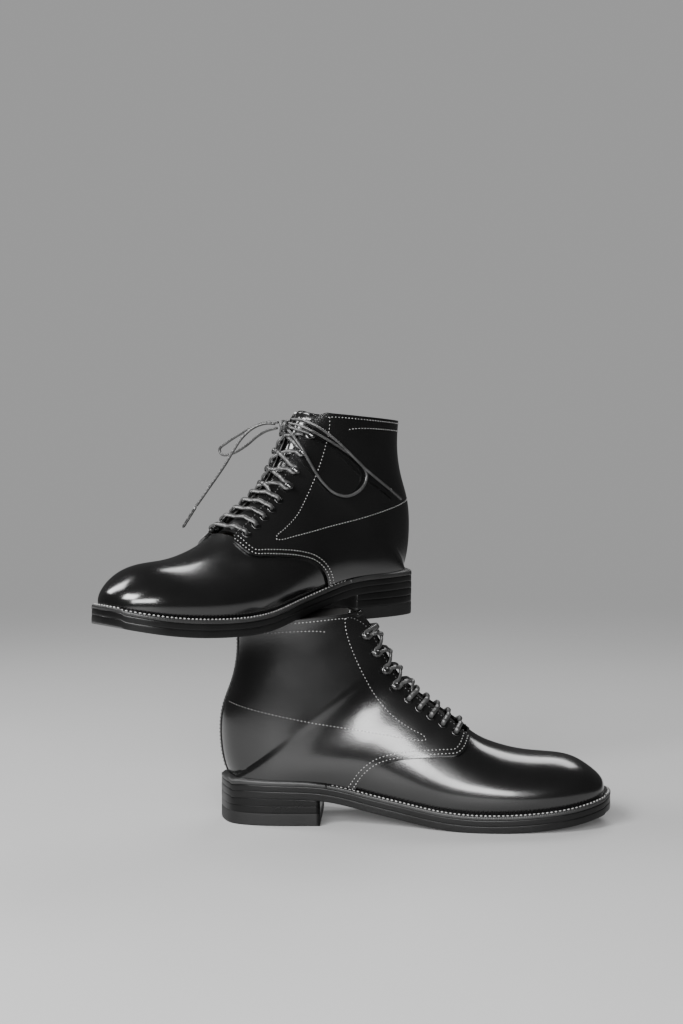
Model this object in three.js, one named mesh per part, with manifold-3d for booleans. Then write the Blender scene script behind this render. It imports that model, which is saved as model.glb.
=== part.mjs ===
// A pair of plain-toe, open-laced leather boots on stitched leather soles.
// The left boot stands on the table and the right boot rests across its collar.
// Millimetres, +Z up, +X towards the toe of the standing boot.

import * as THREE from 'three';
import Module from 'manifold-3d';

const wasm = await Module();
wasm.setup();

// Driving dimensions
const gap = 0.3; // clearance left between pieces that touch
const weltThickness = 3;
const midsoleThickness = 4.2;
const outsoleThickness = 5.2;
const insoleThickness = 3.2;
const topLiftHeight = 9.5;
const breastX = 78; // front face of the heel, from the back of the boot
const leatherThickness = 1.7;
const liningThickness = 1.2;
const tongueThickness = 2;
const backstayThickness = 1.1;
const counterThickness = 1.1;
const stayThickness = 0.8;
const collarCurl = 3.2; // how far the tongue's top bends outwards
const laceRadius = 1.25;
const tagRadius = 1.3;
const hookClearance = 4.2; // how far inside its hook a lace lies
const knot = { x: 124, y: 2, z: 151.5, half: [4.4, 5.6, 4.2] };
const eyeletCount = 5; // the rest of each row is hooks

// Where the right boot lies, measured to the ground point at the back of its heel
const rest = { x: 136.3, y: 95.5, z: 150, turn: 0.782, toeUp: 0.016 };

// The shape of the upper: sections from the toe tip (station 0) over the
// instep to the collar (station 22). front is the point on the ridge line and
// end the point on the sole line or on the back, both as [x, z] in side view.
// half is the half width, open the width left at the end as a share of it,
// skew moves the widest place towards the end, and yFront and yEnd bend the
// centre line of a left boot sideways.
const sections = [
  { front: [295.2, 24], end: [295.2, 24], half: 0, open: 0.95, skew: 0, yFront: -5, yEnd: -5 },
  { front: [294.3, 31.2], end: [294, 22.8], half: 9.5, open: 0.95, skew: 0, yFront: -5, yEnd: -5 },
  { front: [290.6, 36.9], end: [290.2, 21.8], half: 18, open: 0.95, skew: 0.02, yFront: -5, yEnd: -4.6 },
  { front: [283.5, 42.8], end: [283.6, 20.4], half: 26, open: 0.95, skew: 0.06, yFront: -5, yEnd: -4 },
  { front: [272.5, 49.2], end: [274, 18.6], half: 33.8, open: 0.95, skew: 0.1, yFront: -4.6, yEnd: -3 },
  { front: [258, 52.6], end: [261, 16.6], half: 40.5, open: 0.95, skew: 0.15, yFront: -4.4, yEnd: -1.6 },
  { front: [240, 53.8], end: [241, 14.5], half: 45.8, open: 0.945, skew: 0.2, yFront: -4.2, yEnd: -0.3 },
  { front: [222, 56.6], end: [218, 13.2], half: 48.6, open: 0.94, skew: 0.25, yFront: -4, yEnd: 0.6 },
  { front: [206, 61.8], end: [194, 13], half: 49, open: 0.93, skew: 0.3, yFront: -3.6, yEnd: 1.6 },
  { front: [194, 69], end: [168, 14.7], half: 45.5, open: 0.91, skew: 0.33, yFront: -3, yEnd: 2.6 },
  { front: [180.5, 80], end: [141, 19], half: 39.5, open: 0.88, skew: 0.36, yFront: -2.4, yEnd: 3.2 },
  { front: [167, 90], end: [112, 25.1], half: 35, open: 0.87, skew: 0.38, yFront: -1.8, yEnd: 2.8 },
  { front: [154, 99.8], end: [80, 32.2], half: 33, open: 0.9, skew: 0.4, yFront: -1.2, yEnd: 1.6 },
  { front: [142.5, 110.5], end: [43, 34], half: 32.3, open: 0.93, skew: 0.42, yFront: -0.6, yEnd: 0.6 },
  { front: [134, 121.5], end: [16.5, 34.1], half: 31.6, open: 0.66, skew: 0.43, yFront: 0, yEnd: 0 },
  { front: [128, 132], end: [8.5, 34.4], half: 31, open: 0, skew: 0.42, yFront: 0, yEnd: 0 },
  { front: [123.5, 140.6], end: [3.8, 47], half: 30.2, open: 0, skew: 0.38, yFront: 0, yEnd: 0 },
  { front: [119.5, 148], end: [1.6, 66], half: 29.2, open: 0, skew: 0.33, yFront: 0, yEnd: 0 },
  { front: [116.2, 153.6], end: [3.4, 86], half: 28.2, open: 0, skew: 0.28, yFront: 0, yEnd: 0 },
  { front: [113.4, 157.6], end: [10, 105], half: 27.4, open: 0, skew: 0.23, yFront: 0, yEnd: 0 },
  { front: [111.2, 160.2], end: [14.2, 123.3], half: 27, open: 0, skew: 0.18, yFront: 0, yEnd: 0 },
  { front: [109.6, 161.8], end: [15, 139.5], half: 27, open: 0, skew: 0.15, yFront: 0, yEnd: 0 },
  { front: [108.4, 162], end: [14, 153.4], half: 27.4, open: 0, skew: 0.12, yFront: 0, yEnd: 0 },
];
const toeRise = 0.24; // slope of the sole at the toe tip
const heelBack = 15; // the station where the sole line reaches the back of the heel
const collar = sections.length - 1;

// How far the welt and soles stand out past the upper, by station
const soleMargin = [4.8, 5, 5, 5, 5, 5, 5, 5, 5, 4.6, 4, 3.6, 3.4, 3.4, 5.6, 8.5];

// Smooth curves through evenly spaced values

function smoothThrough(values) {
  const last = values.length - 1;
  const bend = new Array(last + 1).fill(0);
  const ratio = new Array(last + 1).fill(0);
  for (let i = 1; i < last; i++) {
    const pull = 6 * (values[i + 1] - 2 * values[i] + values[i - 1]);
    const scale = 4 - ratio[i - 1];
    ratio[i] = 1 / scale;
    bend[i] = (pull - bend[i - 1]) / scale;
  }
  for (let i = last - 1; i > 0; i--) {
    bend[i] -= ratio[i] * bend[i + 1];
  }
  return (at) => {
    const i = Math.min(last - 1, Math.max(0, Math.floor(at)));
    const b = at - i;
    const a = 1 - b;
    return a * values[i] + b * values[i + 1]
      + ((a * a * a - a) * bend[i] + (b * b * b - b) * bend[i + 1]) / 6;
  };
}

const frontX = smoothThrough(sections.map((row) => row.front[0]));
const frontZ = smoothThrough(sections.map((row) => row.front[1]));
const endX = smoothThrough(sections.map((row) => row.end[0]));
const endZ = smoothThrough(sections.map((row) => row.end[1]));
const halfWidth = smoothThrough(sections.map((row) => row.half));
const openShare = smoothThrough(sections.slice(0, heelBack + 1).map((row) => row.open));
const skew = smoothThrough(sections.map((row) => row.skew));
const yFront = smoothThrough(sections.map((row) => row.yFront));
const yEnd = smoothThrough(sections.map((row) => row.yEnd));
const margin = smoothThrough(soleMargin);

// A point on the upper. round is 0 on the ridge, 1 at the end of the section
// on the left side and -1 at its end on the right side.
function surface(station, round) {
  const open = station >= heelBack ? 0 : Math.max(0, openShare(station));
  const lastAngle = Math.PI - Math.asin(Math.min(0.999, open));
  const angle = round * lastAngle;
  const share = (1 - Math.cos(angle)) / (1 - Math.cos(lastAngle));
  const along = share * (1 + skew(station) * (1 - share));
  return new THREE.Vector3(
    THREE.MathUtils.lerp(frontX(station), endX(station), along),
    THREE.MathUtils.lerp(yFront(station), yEnd(station), along) + halfWidth(station) * Math.sin(angle),
    THREE.MathUtils.lerp(frontZ(station), endZ(station), along),
  );
}

function outward(station, round) {
  if (station < 0.05) {
    return new THREE.Vector3(1, 0, 0);
  }
  const before = Math.max(0, station - 0.02);
  const stepAlong = surface(station + 0.02, round).sub(surface(before, round));
  const stepRound = surface(station, round + 0.01).sub(surface(station, round - 0.01));
  return stepRound.cross(stepAlong).normalize();
}

function soleLine(x) {
  if (x > endX(0)) {
    return endZ(0) + toeRise * (x - endX(0));
  }
  let low = 0;
  let high = heelBack;
  for (let i = 0; i < 24; i++) {
    const middle = (low + high) / 2;
    if (endX(middle) > x) {
      low = middle;
    } else {
      high = middle;
    }
  }
  return endZ((low + high) / 2);
}

function offSurface(station, round, offset) {
  const point = surface(station, round).addScaledVector(outward(station, round), offset);
  point.z = Math.max(point.z, soleLine(point.x) + 2 * gap);
  return point;
}

// The place on the upper that is arc millimetres round from the ridge
function roundAtArc(station, arc) {
  const step = 0.004;
  let round = 0;
  let length = 0;
  let last = surface(station, 0);
  while (length < arc && round < 1) {
    round += step;
    const next = surface(station, round);
    length += next.distanceTo(last);
    last = next;
  }
  return round;
}

// The place on the upper that is arc millimetres round from the back line
function roundFromBack(station, arc) {
  const step = 0.004;
  let round = 1;
  let length = 0;
  let last = surface(station, 1);
  while (length < arc && round > 0) {
    round -= step;
    const next = surface(station, round);
    length += next.distanceTo(last);
    last = next;
  }
  return round;
}

// The place on the left side of the upper that is seen at x, z from the side
function seenAt(x, z) {
  const ahead = (station) => {
    const dx = endX(station) - frontX(station);
    const dz = endZ(station) - frontZ(station);
    return dx * (z - frontZ(station)) - dz * (x - frontX(station));
  };
  let low = 1;
  let high = collar;
  for (let i = 0; i < 30; i++) {
    const middle = (low + high) / 2;
    if (ahead(middle) < 0) {
      low = middle;
    } else {
      high = middle;
    }
  }
  const station = (low + high) / 2;
  let near = 0;
  let far = 1;
  const target = Math.hypot(x - frontX(station), z - frontZ(station));
  for (let i = 0; i < 30; i++) {
    const middle = (near + far) / 2;
    const point = surface(station, middle);
    if (Math.hypot(point.x - frontX(station), point.z - frontZ(station)) < target) {
      near = middle;
    } else {
      far = middle;
    }
  }
  return { station, round: (near + far) / 2 };
}

// Solids

function toGeometry(corners, faces) {
  const keys = new Map();
  const places = [];
  const renumber = corners.map((corner) => {
    const key = corner.toArray().map((value) => Math.round(value * 1000)).join();
    if (!keys.has(key)) {
      keys.set(key, places.length / 3);
      places.push(...corner.toArray());
    }
    return keys.get(key);
  });
  const index = [];
  for (const face of faces) {
    const [a, b, c] = face.map((corner) => renumber[corner]);
    if (a !== b && b !== c && c !== a) {
      index.push(a, b, c);
    }
  }
  const geometry = new THREE.BufferGeometry();
  geometry.setAttribute('position', new THREE.Float32BufferAttribute(places, 3));
  geometry.setIndex(index);
  return facingOut(geometry);
}

function indexOf(geometry) {
  if (geometry.index) {
    return Array.from(geometry.index.array);
  }
  return [...Array(geometry.attributes.position.count).keys()];
}

function facingOut(geometry) {
  const places = geometry.attributes.position;
  const at = (i) => new THREE.Vector3().fromBufferAttribute(places, geometry.index.getX(i));
  let volume = 0;
  for (let i = 0; i < geometry.index.count; i += 3) {
    volume += at(i).dot(at(i + 1).cross(at(i + 2)));
  }
  if (volume < 0) {
    geometry.setIndex(Array.from(geometry.index.array).reverse());
  }
  return geometry;
}

// A closed solid from rings of corners, one after another, with both ends
// closed by a fan. Rings that repeat a corner are fine.
function solidFromRings(rings) {
  const count = rings[0].length;
  const corners = rings.flat();
  const faces = [];
  for (let i = 0; i + 1 < rings.length; i++) {
    for (let j = 0; j < count; j++) {
      const a = i * count + j;
      const b = i * count + (j + 1) % count;
      faces.push([a, b, b + count], [a, b + count, a + count]);
    }
  }
  const lastRing = (rings.length - 1) * count;
  for (let j = 1; j + 1 < count; j++) {
    faces.push([0, j + 1, j], [lastRing, lastRing + j, lastRing + j + 1]);
  }
  return toGeometry(corners, faces);
}

// A sheet of leather between two offsets from the surface of the upper.
// place(u, v) gives { station, round } and outer(u, v) the outer offset.
function leatherSheet(place, stepsU, stepsV, outer, thickness) {
  const corners = [];
  const faces = [];
  const row = stepsV + 1;
  const layer = (stepsU + 1) * row;
  for (const inset of [0, thickness]) {
    for (let i = 0; i <= stepsU; i++) {
      for (let j = 0; j <= stepsV; j++) {
        const u = i / stepsU;
        const v = j / stepsV;
        const { station, round } = place(u, v);
        corners.push(offSurface(station, round, outer(u, v) - inset));
      }
    }
  }
  const quad = (a, b, c, d) => faces.push([a, b, c], [a, c, d]);
  for (let i = 0; i < stepsU; i++) {
    for (let j = 0; j < stepsV; j++) {
      const a = i * row + j;
      quad(a, a + 1, a + row + 1, a + row);
      quad(layer + a, layer + a + row, layer + a + row + 1, layer + a + 1);
    }
  }
  for (let j = 0; j < stepsV; j++) {
    quad(j, layer + j, layer + j + 1, j + 1);
    const a = stepsU * row + j;
    quad(a, a + 1, layer + a + 1, layer + a);
  }
  for (let i = 0; i < stepsU; i++) {
    const a = i * row;
    quad(a, a + row, layer + a + row, layer + a);
    const b = a + stepsV;
    quad(b, layer + b, layer + b + row, b + row);
  }
  return toGeometry(corners, faces);
}

// The edge of a sole layer, beyond being how far it stands out past the upper
function soleEdge(station, side, beyond, level) {
  const at = (s) => {
    const width = surface(s, side);
    return new THREE.Vector2(width.x, width.y);
  };
  const here = at(station);
  const along = at(Math.min(heelBack, station + 0.03)).sub(at(Math.max(0, station - 0.03)));
  const out = new THREE.Vector2(along.y, -along.x).multiplyScalar(side).normalize();
  if (station < 0.01) {
    out.set(1, 0);
  }
  if (station > heelBack - 0.01) {
    out.set(-1, 0);
  }
  here.addScaledVector(out, beyond);
  return new THREE.Vector3(here.x, here.y, level(here.x));
}

function stationAt(x) {
  let low = 0;
  let high = heelBack;
  for (let i = 0; i < 24; i++) {
    const middle = (low + high) / 2;
    if (endX(middle) > x) {
      low = middle;
    } else {
      high = middle;
    }
  }
  return (low + high) / 2;
}

function stationsBetween(first, last, count) {
  return Array.from({ length: count + 1 }, (_, i) => THREE.MathUtils.lerp(first, last, i / count));
}

// A layer that fills the outline between two stations
function solePlate(stations, beyond, top, bottom) {
  return solidFromRings(stations.map((station) => [
    soleEdge(station, -1, beyond(station), top),
    soleEdge(station, 1, beyond(station), top),
    soleEdge(station, 1, beyond(station), bottom),
    soleEdge(station, -1, beyond(station), bottom),
  ]));
}

// A strip that follows the outline from one side round an end to the other
function soleStrip(stations, outside, inside, top, bottom) {
  const path = [];
  for (const station of stations) {
    path.push([station, -1]);
  }
  for (const station of [...stations].reverse().slice(1)) {
    path.push([station, 1]);
  }
  return solidFromRings(path.map(([station, side]) => [
    soleEdge(station, side, outside(station), top),
    soleEdge(station, side, outside(station), bottom),
    soleEdge(station, side, inside(station), bottom),
    soleEdge(station, side, inside(station), top),
  ]));
}

const weltTop = (x) => soleLine(x) - gap;
const weltBottom = (x) => soleLine(x) - weltThickness;
const midsoleTop = (x) => weltBottom(x) - gap;
const midsoleBottom = (x) => midsoleTop(x) - midsoleThickness;
const outsoleTop = (x) => midsoleBottom(x) - gap;
const outsoleBottom = (x) => outsoleTop(x) - outsoleThickness;
const breast = stationAt(breastX);
const seatStart = stationAt(breastX + 6);
const wholeSole = [
  ...stationsBetween(0, 2, 4), ...stationsBetween(3, 13, 10), ...stationsBetween(13.5, heelBack, 4),
];
const heelStations = [breast, ...stationsBetween(13, heelBack, 6)];

// Lasting, lining and stiffening layers, as offsets from the surface
const stiffenerThickness = 1.5;
const stiffenerOffset = -leatherThickness - 2 * gap;
const liningOffset = stiffenerOffset - stiffenerThickness - 2 * gap;
const quarterOffset = leatherThickness + gap;
const counterOffset = -1.5;
const stayOffset = -1.2;
const quarterLiningOffset = -3.2;
const backstayOffset = quarterOffset + 1.7;
const tongueOffset = quarterLiningOffset - liningThickness - 0.8;

const facingArc = smoothThrough([11, 13.5, 12.4, 11.2, 10.2, 9.4, 9, 9, 9.4, 10.4, 12.4, 15, 18, 21]);
const facingStart = 9;

function facingEdge(station) {
  return roundAtArc(station, facingArc(station - facingStart));
}

// Curves on the upper, through points seen from the side or given as places
function curveOnUpper(points) {
  const places = points.map((point) => (Array.isArray(point) ? seenAt(...point) : point));
  const flat = places.map(({ station, round }) => new THREE.Vector2(station * 14, round * 100));
  const curve = new THREE.SplineCurve(flat);
  return (share) => {
    const point = curve.getPointAt(share);
    return { station: point.x / 14, round: point.y / 100 };
  };
}

const throat = 9.25; // station where the vamp ends on the ridge
const seamFoot = { station: stationAt(104), round: 1 };
const quarterSeam = curveOnUpper([
  [191.5, 66.5], [188.5, 60], [183.5, 56], [170, 54.8], [156, 53.8], [138, 51.6], [123, 47.4], [113, 40],
  seamFoot,
]);
const vampRear = curveOnUpper([
  { station: throat, round: 0 }, [184, 66], [179, 61], [156, 59], [137, 57], [117, 52], [105, 42],
  { station: stationAt(96), round: 1 },
]);

function vampPlace(from, reach) {
  return (u, v) => {
    const across = 2 * v - 1;
    const share = Math.abs(across);
    const rear = vampRear(share);
    const along = THREE.MathUtils.lerp(from, reach, u);
    const round = THREE.MathUtils.lerp(share, rear.round, along * along);
    return { station: along * rear.station, round: Math.sign(across) * round };
  };
}

function quarterPlace(side, backGap) {
  const tip = quarterSeam(0);
  return (u, evenly) => {
    const v = (1 - Math.cos(Math.PI * evenly)) / 2;
    const seam = quarterSeam(v);
    const facingStation = THREE.MathUtils.lerp(collar, tip.station, u);
    const backStation = THREE.MathUtils.lerp(collar, seamFoot.station, u);
    const facing = THREE.MathUtils.lerp(facingEdge(facingStation), tip.round, Math.max(0, u * 8 - 7));
    const station = (1 - v) * facingStation + v * backStation
      + u * (seam.station - (1 - v) * tip.station - v * seamFoot.station);
    const round = (1 - v) * facing + v + u * (seam.round - (1 - v) * tip.round - v);
    return { station, round: side * Math.min(round, 1 - backGap) };
  };
}

// Pieces of one left boot, each a function that returns its geometry

function heelLayer(top, bottom) {
  return solePlate(heelStations, margin, top, bottom);
}

function eyeletPlaces(side) {
  const arcs = [22, 21.6, 20.8, 19.8, 18.6, 16.6, 15.6, 15.6, 16.2];
  const stations = [9.72, 10.34, 10.94, 11.54, 12.14, 13, 14.05, 15.4, 17.1];
  return stations.map((station, i) => {
    const round = side * roundAtArc(station, arcs[i]);
    return { station, round, arc: arcs[i] };
  });
}

function standingOn(station, round, offset, geometry) {
  const turn = new THREE.Quaternion().setFromUnitVectors(new THREE.Vector3(0, 0, 1), outward(station, round));
  const place = surface(station, round).addScaledVector(outward(station, round), offset);
  return geometry.applyMatrix4(new THREE.Matrix4().compose(place, turn, new THREE.Vector3(1, 1, 1)));
}

function toManifold(geometry) {
  const corners = Array.from({ length: geometry.attributes.position.count }, (_, i) => (
    new THREE.Vector3().fromBufferAttribute(geometry.attributes.position, i)));
  const index = indexOf(geometry);
  const faces = [];
  for (let i = 0; i < index.length; i += 3) {
    faces.push(index.slice(i, i + 3));
  }
  const merged = toGeometry(corners, faces);
  return new wasm.Manifold(new wasm.Mesh({
    numProp: 3,
    vertProperties: merged.attributes.position.array,
    triVerts: new Uint32Array(merged.index.array),
  }));
}

function fromManifold(solid) {
  const mesh = solid.getMesh();
  const geometry = new THREE.BufferGeometry();
  geometry.setAttribute('position', new THREE.BufferAttribute(mesh.vertProperties, 3));
  geometry.setIndex(new THREE.BufferAttribute(mesh.triVerts, 1));
  return geometry;
}

const barrelRadius = 2.4;
const flangeRadius = 3.8;
const boreRadius = 1.5;
const rivetRadius = 1.5;
const barrelBottom = stayOffset - 1;
const flangeBottom = quarterOffset + 0.8;
const flangeTop = flangeBottom + 0.7;

function post(radius, bottom, top, sides) {
  const geometry = new THREE.CylinderGeometry(radius, radius, top - bottom, sides);
  return geometry.rotateX(Math.PI / 2).translate(0, 0, (top + bottom) / 2);
}

function hookShape() {
  const outline = new THREE.Shape();
  outline.moveTo(-3, 0);
  outline.lineTo(3, 0);
  outline.lineTo(3, 0.8);
  outline.lineTo(0, 1);
  outline.lineTo(-0.6, 3.4);
  outline.lineTo(2.6, 4.6);
  outline.lineTo(2.4, 5.4);
  outline.lineTo(-1.8, 4.4);
  outline.lineTo(-3, 2);
  const geometry = new THREE.ExtrudeGeometry(outline, { depth: 4.4, bevelEnabled: false });
  return geometry.translate(0, 0, -2.2).rotateX(Math.PI / 2).translate(0, 0, flangeBottom);
}

// The stay sewn behind one facing, with its eyelets and hooks through it
function facingHardware(side) {
  const places = eyeletPlaces(side);
  const curve = (u) => {
    const at = u * (places.length - 1);
    const i = Math.min(places.length - 2, Math.floor(at));
    return {
      station: THREE.MathUtils.lerp(places[i].station, places[i + 1].station, at - i),
      arc: THREE.MathUtils.lerp(places[i].arc, places[i + 1].arc, at - i),
    };
  };
  const stay = leatherSheet((u, v) => {
    const { station, arc } = curve(u);
    const beyond = (u < 0.5 ? -0.2 : 0.35) * Math.abs(2 * u - 1) ** 8;
    return { station: station + beyond, round: side * roundAtArc(station, arc + 9 * v - 4.5) };
  }, 18, 1, () => stayOffset, stayThickness);
  let solid = toManifold(stay);
  places.forEach(({ station, round }, i) => {
    const isEyelet = i < eyeletCount;
    const barrel = () => post(barrelRadius, barrelBottom, flangeTop, 6);
    const rivet = () => post(rivetRadius, barrelBottom, flangeBottom + 0.4, 5);
    const stem = isEyelet ? barrel() : rivet();
    solid = solid.add(toManifold(standingOn(station, round, 0, stem)));
    const head = isEyelet ? post(flangeRadius, flangeBottom, flangeTop, 8) : hookShape();
    solid = solid.add(toManifold(standingOn(station, round, 0, head)));
  });
  for (const { station, round } of places.slice(0, eyeletCount)) {
    solid = solid.subtract(toManifold(standingOn(station, round, 0, post(boreRadius, -4, 6, 6))));
  }
  return fromManifold(solid);
}

function quarter(side) {
  const sheet = leatherSheet(quarterPlace(side, 0.003), 11, 11, () => quarterOffset, leatherThickness);
  let solid = toManifold(sheet);
  eyeletPlaces(side).forEach(({ station, round }, i) => {
    const radius = (i < eyeletCount ? barrelRadius : rivetRadius) + gap;
    solid = solid.subtract(toManifold(standingOn(station, round, 0, post(radius, -1, 5, 6))));
  });
  return fromManifold(solid);
}

function backStrip(first, last, halfWide, steps) {
  return leatherSheet((u, v) => {
    const station = THREE.MathUtils.lerp(first, last, u);
    const across = 2 * v - 1;
    const round = roundFromBack(station, halfWide * Math.abs(across));
    return { station, round: across < 0 ? round : 2 - round };
  }, steps, 4, () => backstayOffset, backstayThickness);
}

function tongue() {
  const width = smoothThrough([17, 18, 19, 20, 21, 21, 21, 22]);
  const curl = (u, v) => collarCurl * Math.max(0, u - 0.86) / 0.14 * (1 - Math.abs(2 * v - 1));
  return leatherSheet((u, v) => {
    const station = THREE.MathUtils.lerp(throat + 0.35, collar, u);
    const across = 2 * v - 1;
    const reach = roundAtArc(station, width(u * 7) * Math.abs(across));
    return { station, round: Math.sign(across) * reach };
  }, 11, 6, (u, v) => tongueOffset + curl(u, v), tongueThickness);
}

function quarterLining(side) {
  const whole = quarterPlace(side, 0.003);
  return leatherSheet((u, v) => whole(u * 0.9, v), 8, 8, () => quarterLiningOffset, liningThickness);
}

function backLineX(z) {
  let low = heelBack;
  let high = collar;
  for (let i = 0; i < 24; i++) {
    const middle = (low + high) / 2;
    if (endZ(middle) < z) {
      low = middle;
    } else {
      high = middle;
    }
  }
  return endX(low);
}

// The stiff cup moulded round the heel between the leather and the lining
function heelCounter() {
  const reach = 72;
  return leatherSheet((u, v) => {
    const across = 2 * v - 1;
    const z = THREE.MathUtils.lerp(41, 84 - 26 * across * across, u);
    const back = backLineX(z);
    const x = back + (reach - back) * (1 - Math.cos(across * Math.PI / 2));
    const { station, round } = seenAt(x, z);
    return { station, round: across < 0 ? -round : round };
  }, 4, 16, () => counterOffset, counterThickness);
}

// Laces. Each route is a list of { station, arc, offset }, arc being the
// distance from the ridge, positive on the left.

const laceOver = quarterOffset + 3.4;

function cordAlong(points, radius, steps) {
  const outline = new THREE.Shape();
  for (let i = 0; i < 8; i++) {
    const angle = (i * Math.PI) / 4;
    const [x, y] = [radius * Math.cos(angle), radius * Math.sin(angle)];
    if (i === 0) {
      outline.moveTo(x, y);
    } else {
      outline.lineTo(x, y);
    }
  }
  const extrudePath = new THREE.CatmullRomCurve3(points, false, 'centripetal');
  return new THREE.ExtrudeGeometry(outline, { steps, extrudePath, bevelEnabled: false });
}

function lacePoint(station, arc, offset) {
  const round = Math.sign(arc) * roundAtArc(station, Math.abs(arc));
  return surface(station, round).addScaledVector(outward(station, round), offset);
}

// The lace lies in straight bars through the eyelets and then over the hooks,
// down to the last hooks, where its two ends go up to the knot
function laceBars() {
  const places = eyeletPlaces(1);
  const points = [];
  places.slice(0, -1).forEach(({ station, arc }, i) => {
    const side = i % 2 ? 1 : -1;
    const edge = i < eyeletCount ? arc : arc - hookClearance;
    points.push(lacePoint(station, side * edge, laceOver));
    points.push(lacePoint(station + 0.03, side * edge * 0.5, laceOver - 0.2));
    points.push(lacePoint(station + 0.06, 0, laceOver - 0.6));
    points.push(lacePoint(station + 0.09, -side * edge * 0.5, laceOver - 0.2));
    points.push(lacePoint(station + 0.12, -side * edge, laceOver));
  });
  return cordAlong(points, laceRadius, 36);
}

function laceKnot() {
  const middle = new THREE.Vector3(knot.x, knot.y, knot.z);
  const ball = new THREE.SphereGeometry(1, 10, 7).scale(...knot.half);
  let solid = toManifold(ball.translate(...middle.toArray()));
  const { station, arc } = eyeletPlaces(1).at(-1);
  for (const side of [1, -1]) {
    const hook = lacePoint(station, side * (arc - hookClearance), laceOver);
    const end = lacePoint(station - 0.5, side * (arc - hookClearance), laceOver);
    solid = solid.add(toManifold(cordAlong([middle, hook, end], laceRadius, 4)));
  }
  return fromManifold(solid);
}

function straightTag(from, to, radius) {
  const start = new THREE.Vector3(...from);
  return cordAlong([start, new THREE.Vector3(...to)], radius, 1);
}

// The bow of the right boot, in that boot's own frame: two loops and two ends
const bow = {
  bow_loop_outer: [
    [124.4, -9, 153.2], [125.8, -21, 152.6], [128.2, -34, 148.8], [130.8, -47, 142.9], [133.4, -60, 135.8],
    [135, -67.4, 130.2], [134.4, -65.2, 126.2], [132.4, -55, 127.2], [129.7, -41.4, 133.8],
    [127.4, -30.6, 141.4], [126.2, -21.6, 145.8], [125.8, -12.6, 148], [125.6, -9, 148.8],
  ],
  bow_loop_inner: [
    [125.4, 5, 153], [121.6, 12.6, 151.4], [116.6, 21, 147.4], [107.6, 25, 142.4], [97, 27.6, 136.6],
    [88, 29, 131.6], [78.4, 30.6, 125], [70.9, 32.2, 117.7], [68.8, 32.8, 112.4], [71.6, 33.2, 105.6],
    [78.5, 33, 100], [88.9, 32, 97], [99.5, 29.8, 99.4], [107.9, 26.8, 106.8], [114.2, 24.6, 115],
    [120, 23.2, 124], [124.6, 21, 132.6], [127, 15, 140.6], [126.8, 8.6, 145.8], [126.2, 5, 147.6],
  ],
  lace_end_outer: [
    [129, -6.8, 152.2], [134.4, -12.4, 152.2], [140.8, -18.8, 148.8], [147, -25, 141], [151.6, -29.6, 131.2],
    [155.8, -33.8, 121], [160, -38, 112], [164.1, -42.1, 103.6], [168, -46, 95.6], [171.6, -49.8, 88],
  ],
  lace_end_inner: [
    [122.4, 5, 156], [119.4, 13, 155.4], [114.4, 23, 151.4], [106, 27.8, 145.4], [96.6, 31, 138],
    [85.2, 33.8, 128], [74.5, 36, 118.6], [62.8, 37.2, 110.4], [48.4, 36.8, 101.6],
  ],
};
const bowSteps = { bow_loop_outer: 21, bow_loop_inner: 24, lace_end_outer: 14, lace_end_inner: 13 };
const tags = {
  aglet_outer: { from: [171.8, -50, 87.6], to: [179.2, -57.2, 70.6] },
  aglet_inner: { from: [48, 36.8, 101.4], to: [32.6, 34.4, 92.6] },
};

const insoleTop = (x) => soleLine(x) + gap + insoleThickness;
const sockBottom = (x) => insoleTop(x) + gap;
const insoleInset = (station) => -7 - 2 * Math.max(0, station - 13);
const corkInset = () => -7.6;
const shankInset = () => -20;
const corkStations = stationsBetween(3, stationAt(148), 7);
const shankStations = stationsBetween(stationAt(142), stationAt(46), 5);
const sockStations = [...stationsBetween(stationAt(100), 14, 4), 14.5, heelBack];
const weltStations = stationsBetween(seatStart, 0, 16);
const randStations = stationsBetween(stationAt(breastX + 2), heelBack, 8);
const weltInset = () => -7;
const randInset = () => -6;
const liftsMeet = topLiftHeight + 5.6;

const leftBoot = {
  outsole: () => solePlate(wholeSole, margin, outsoleTop, outsoleBottom),
  midsole: () => solePlate(wholeSole, margin, midsoleTop, midsoleBottom),
  welt: () => soleStrip(weltStations, margin, weltInset, weltTop, weltBottom),
  heel_rand: () => soleStrip(randStations, margin, randInset, weltTop, weltBottom),
  heel_lift_upper: () => heelLayer((x) => outsoleBottom(x) - gap, () => liftsMeet + gap),
  heel_lift_lower: () => heelLayer(() => liftsMeet, () => topLiftHeight + gap),
  heel_top_lift: () => heelLayer(() => topLiftHeight, () => 0),
  insole: () => solePlate(wholeSole, insoleInset, insoleTop, (x) => soleLine(x) + gap),
  cork_filler: () => solePlate(corkStations, corkInset, (x) => soleLine(x) - 0.2, (x) => midsoleTop(x) + gap),
  shank: () => solePlate(shankStations, shankInset, (x) => soleLine(x) - 0.8, (x) => soleLine(x) - 2.4),
  sock_liner: () => solePlate(sockStations, corkInset, (x) => sockBottom(x) + 1, sockBottom),
  vamp: () => leatherSheet(vampPlace(0, 1), 12, 16, (u) => -0.6 * Math.max(0, u * 5 - 4), leatherThickness),
  vamp_lining: () => leatherSheet(vampPlace(0, 0.93), 8, 12, () => liningOffset, liningThickness),
  toe_puff: () => leatherSheet(vampPlace(0, 0.42), 5, 12, () => stiffenerOffset, stiffenerThickness),
  quarter_outer: () => quarter(1),
  quarter_inner: () => quarter(-1),
  quarter_lining_outer: () => quarterLining(1),
  quarter_lining_inner: () => quarterLining(-1),
  heel_counter: heelCounter,
  backstay: () => backStrip(heelBack + 0.3, collar, 5.5, 9),
  tongue,
  eyelet_row_outer: () => facingHardware(1),
  eyelet_row_inner: () => facingHardware(-1),
  lace: laceBars,
  lace_knot: laceKnot,
};

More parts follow.
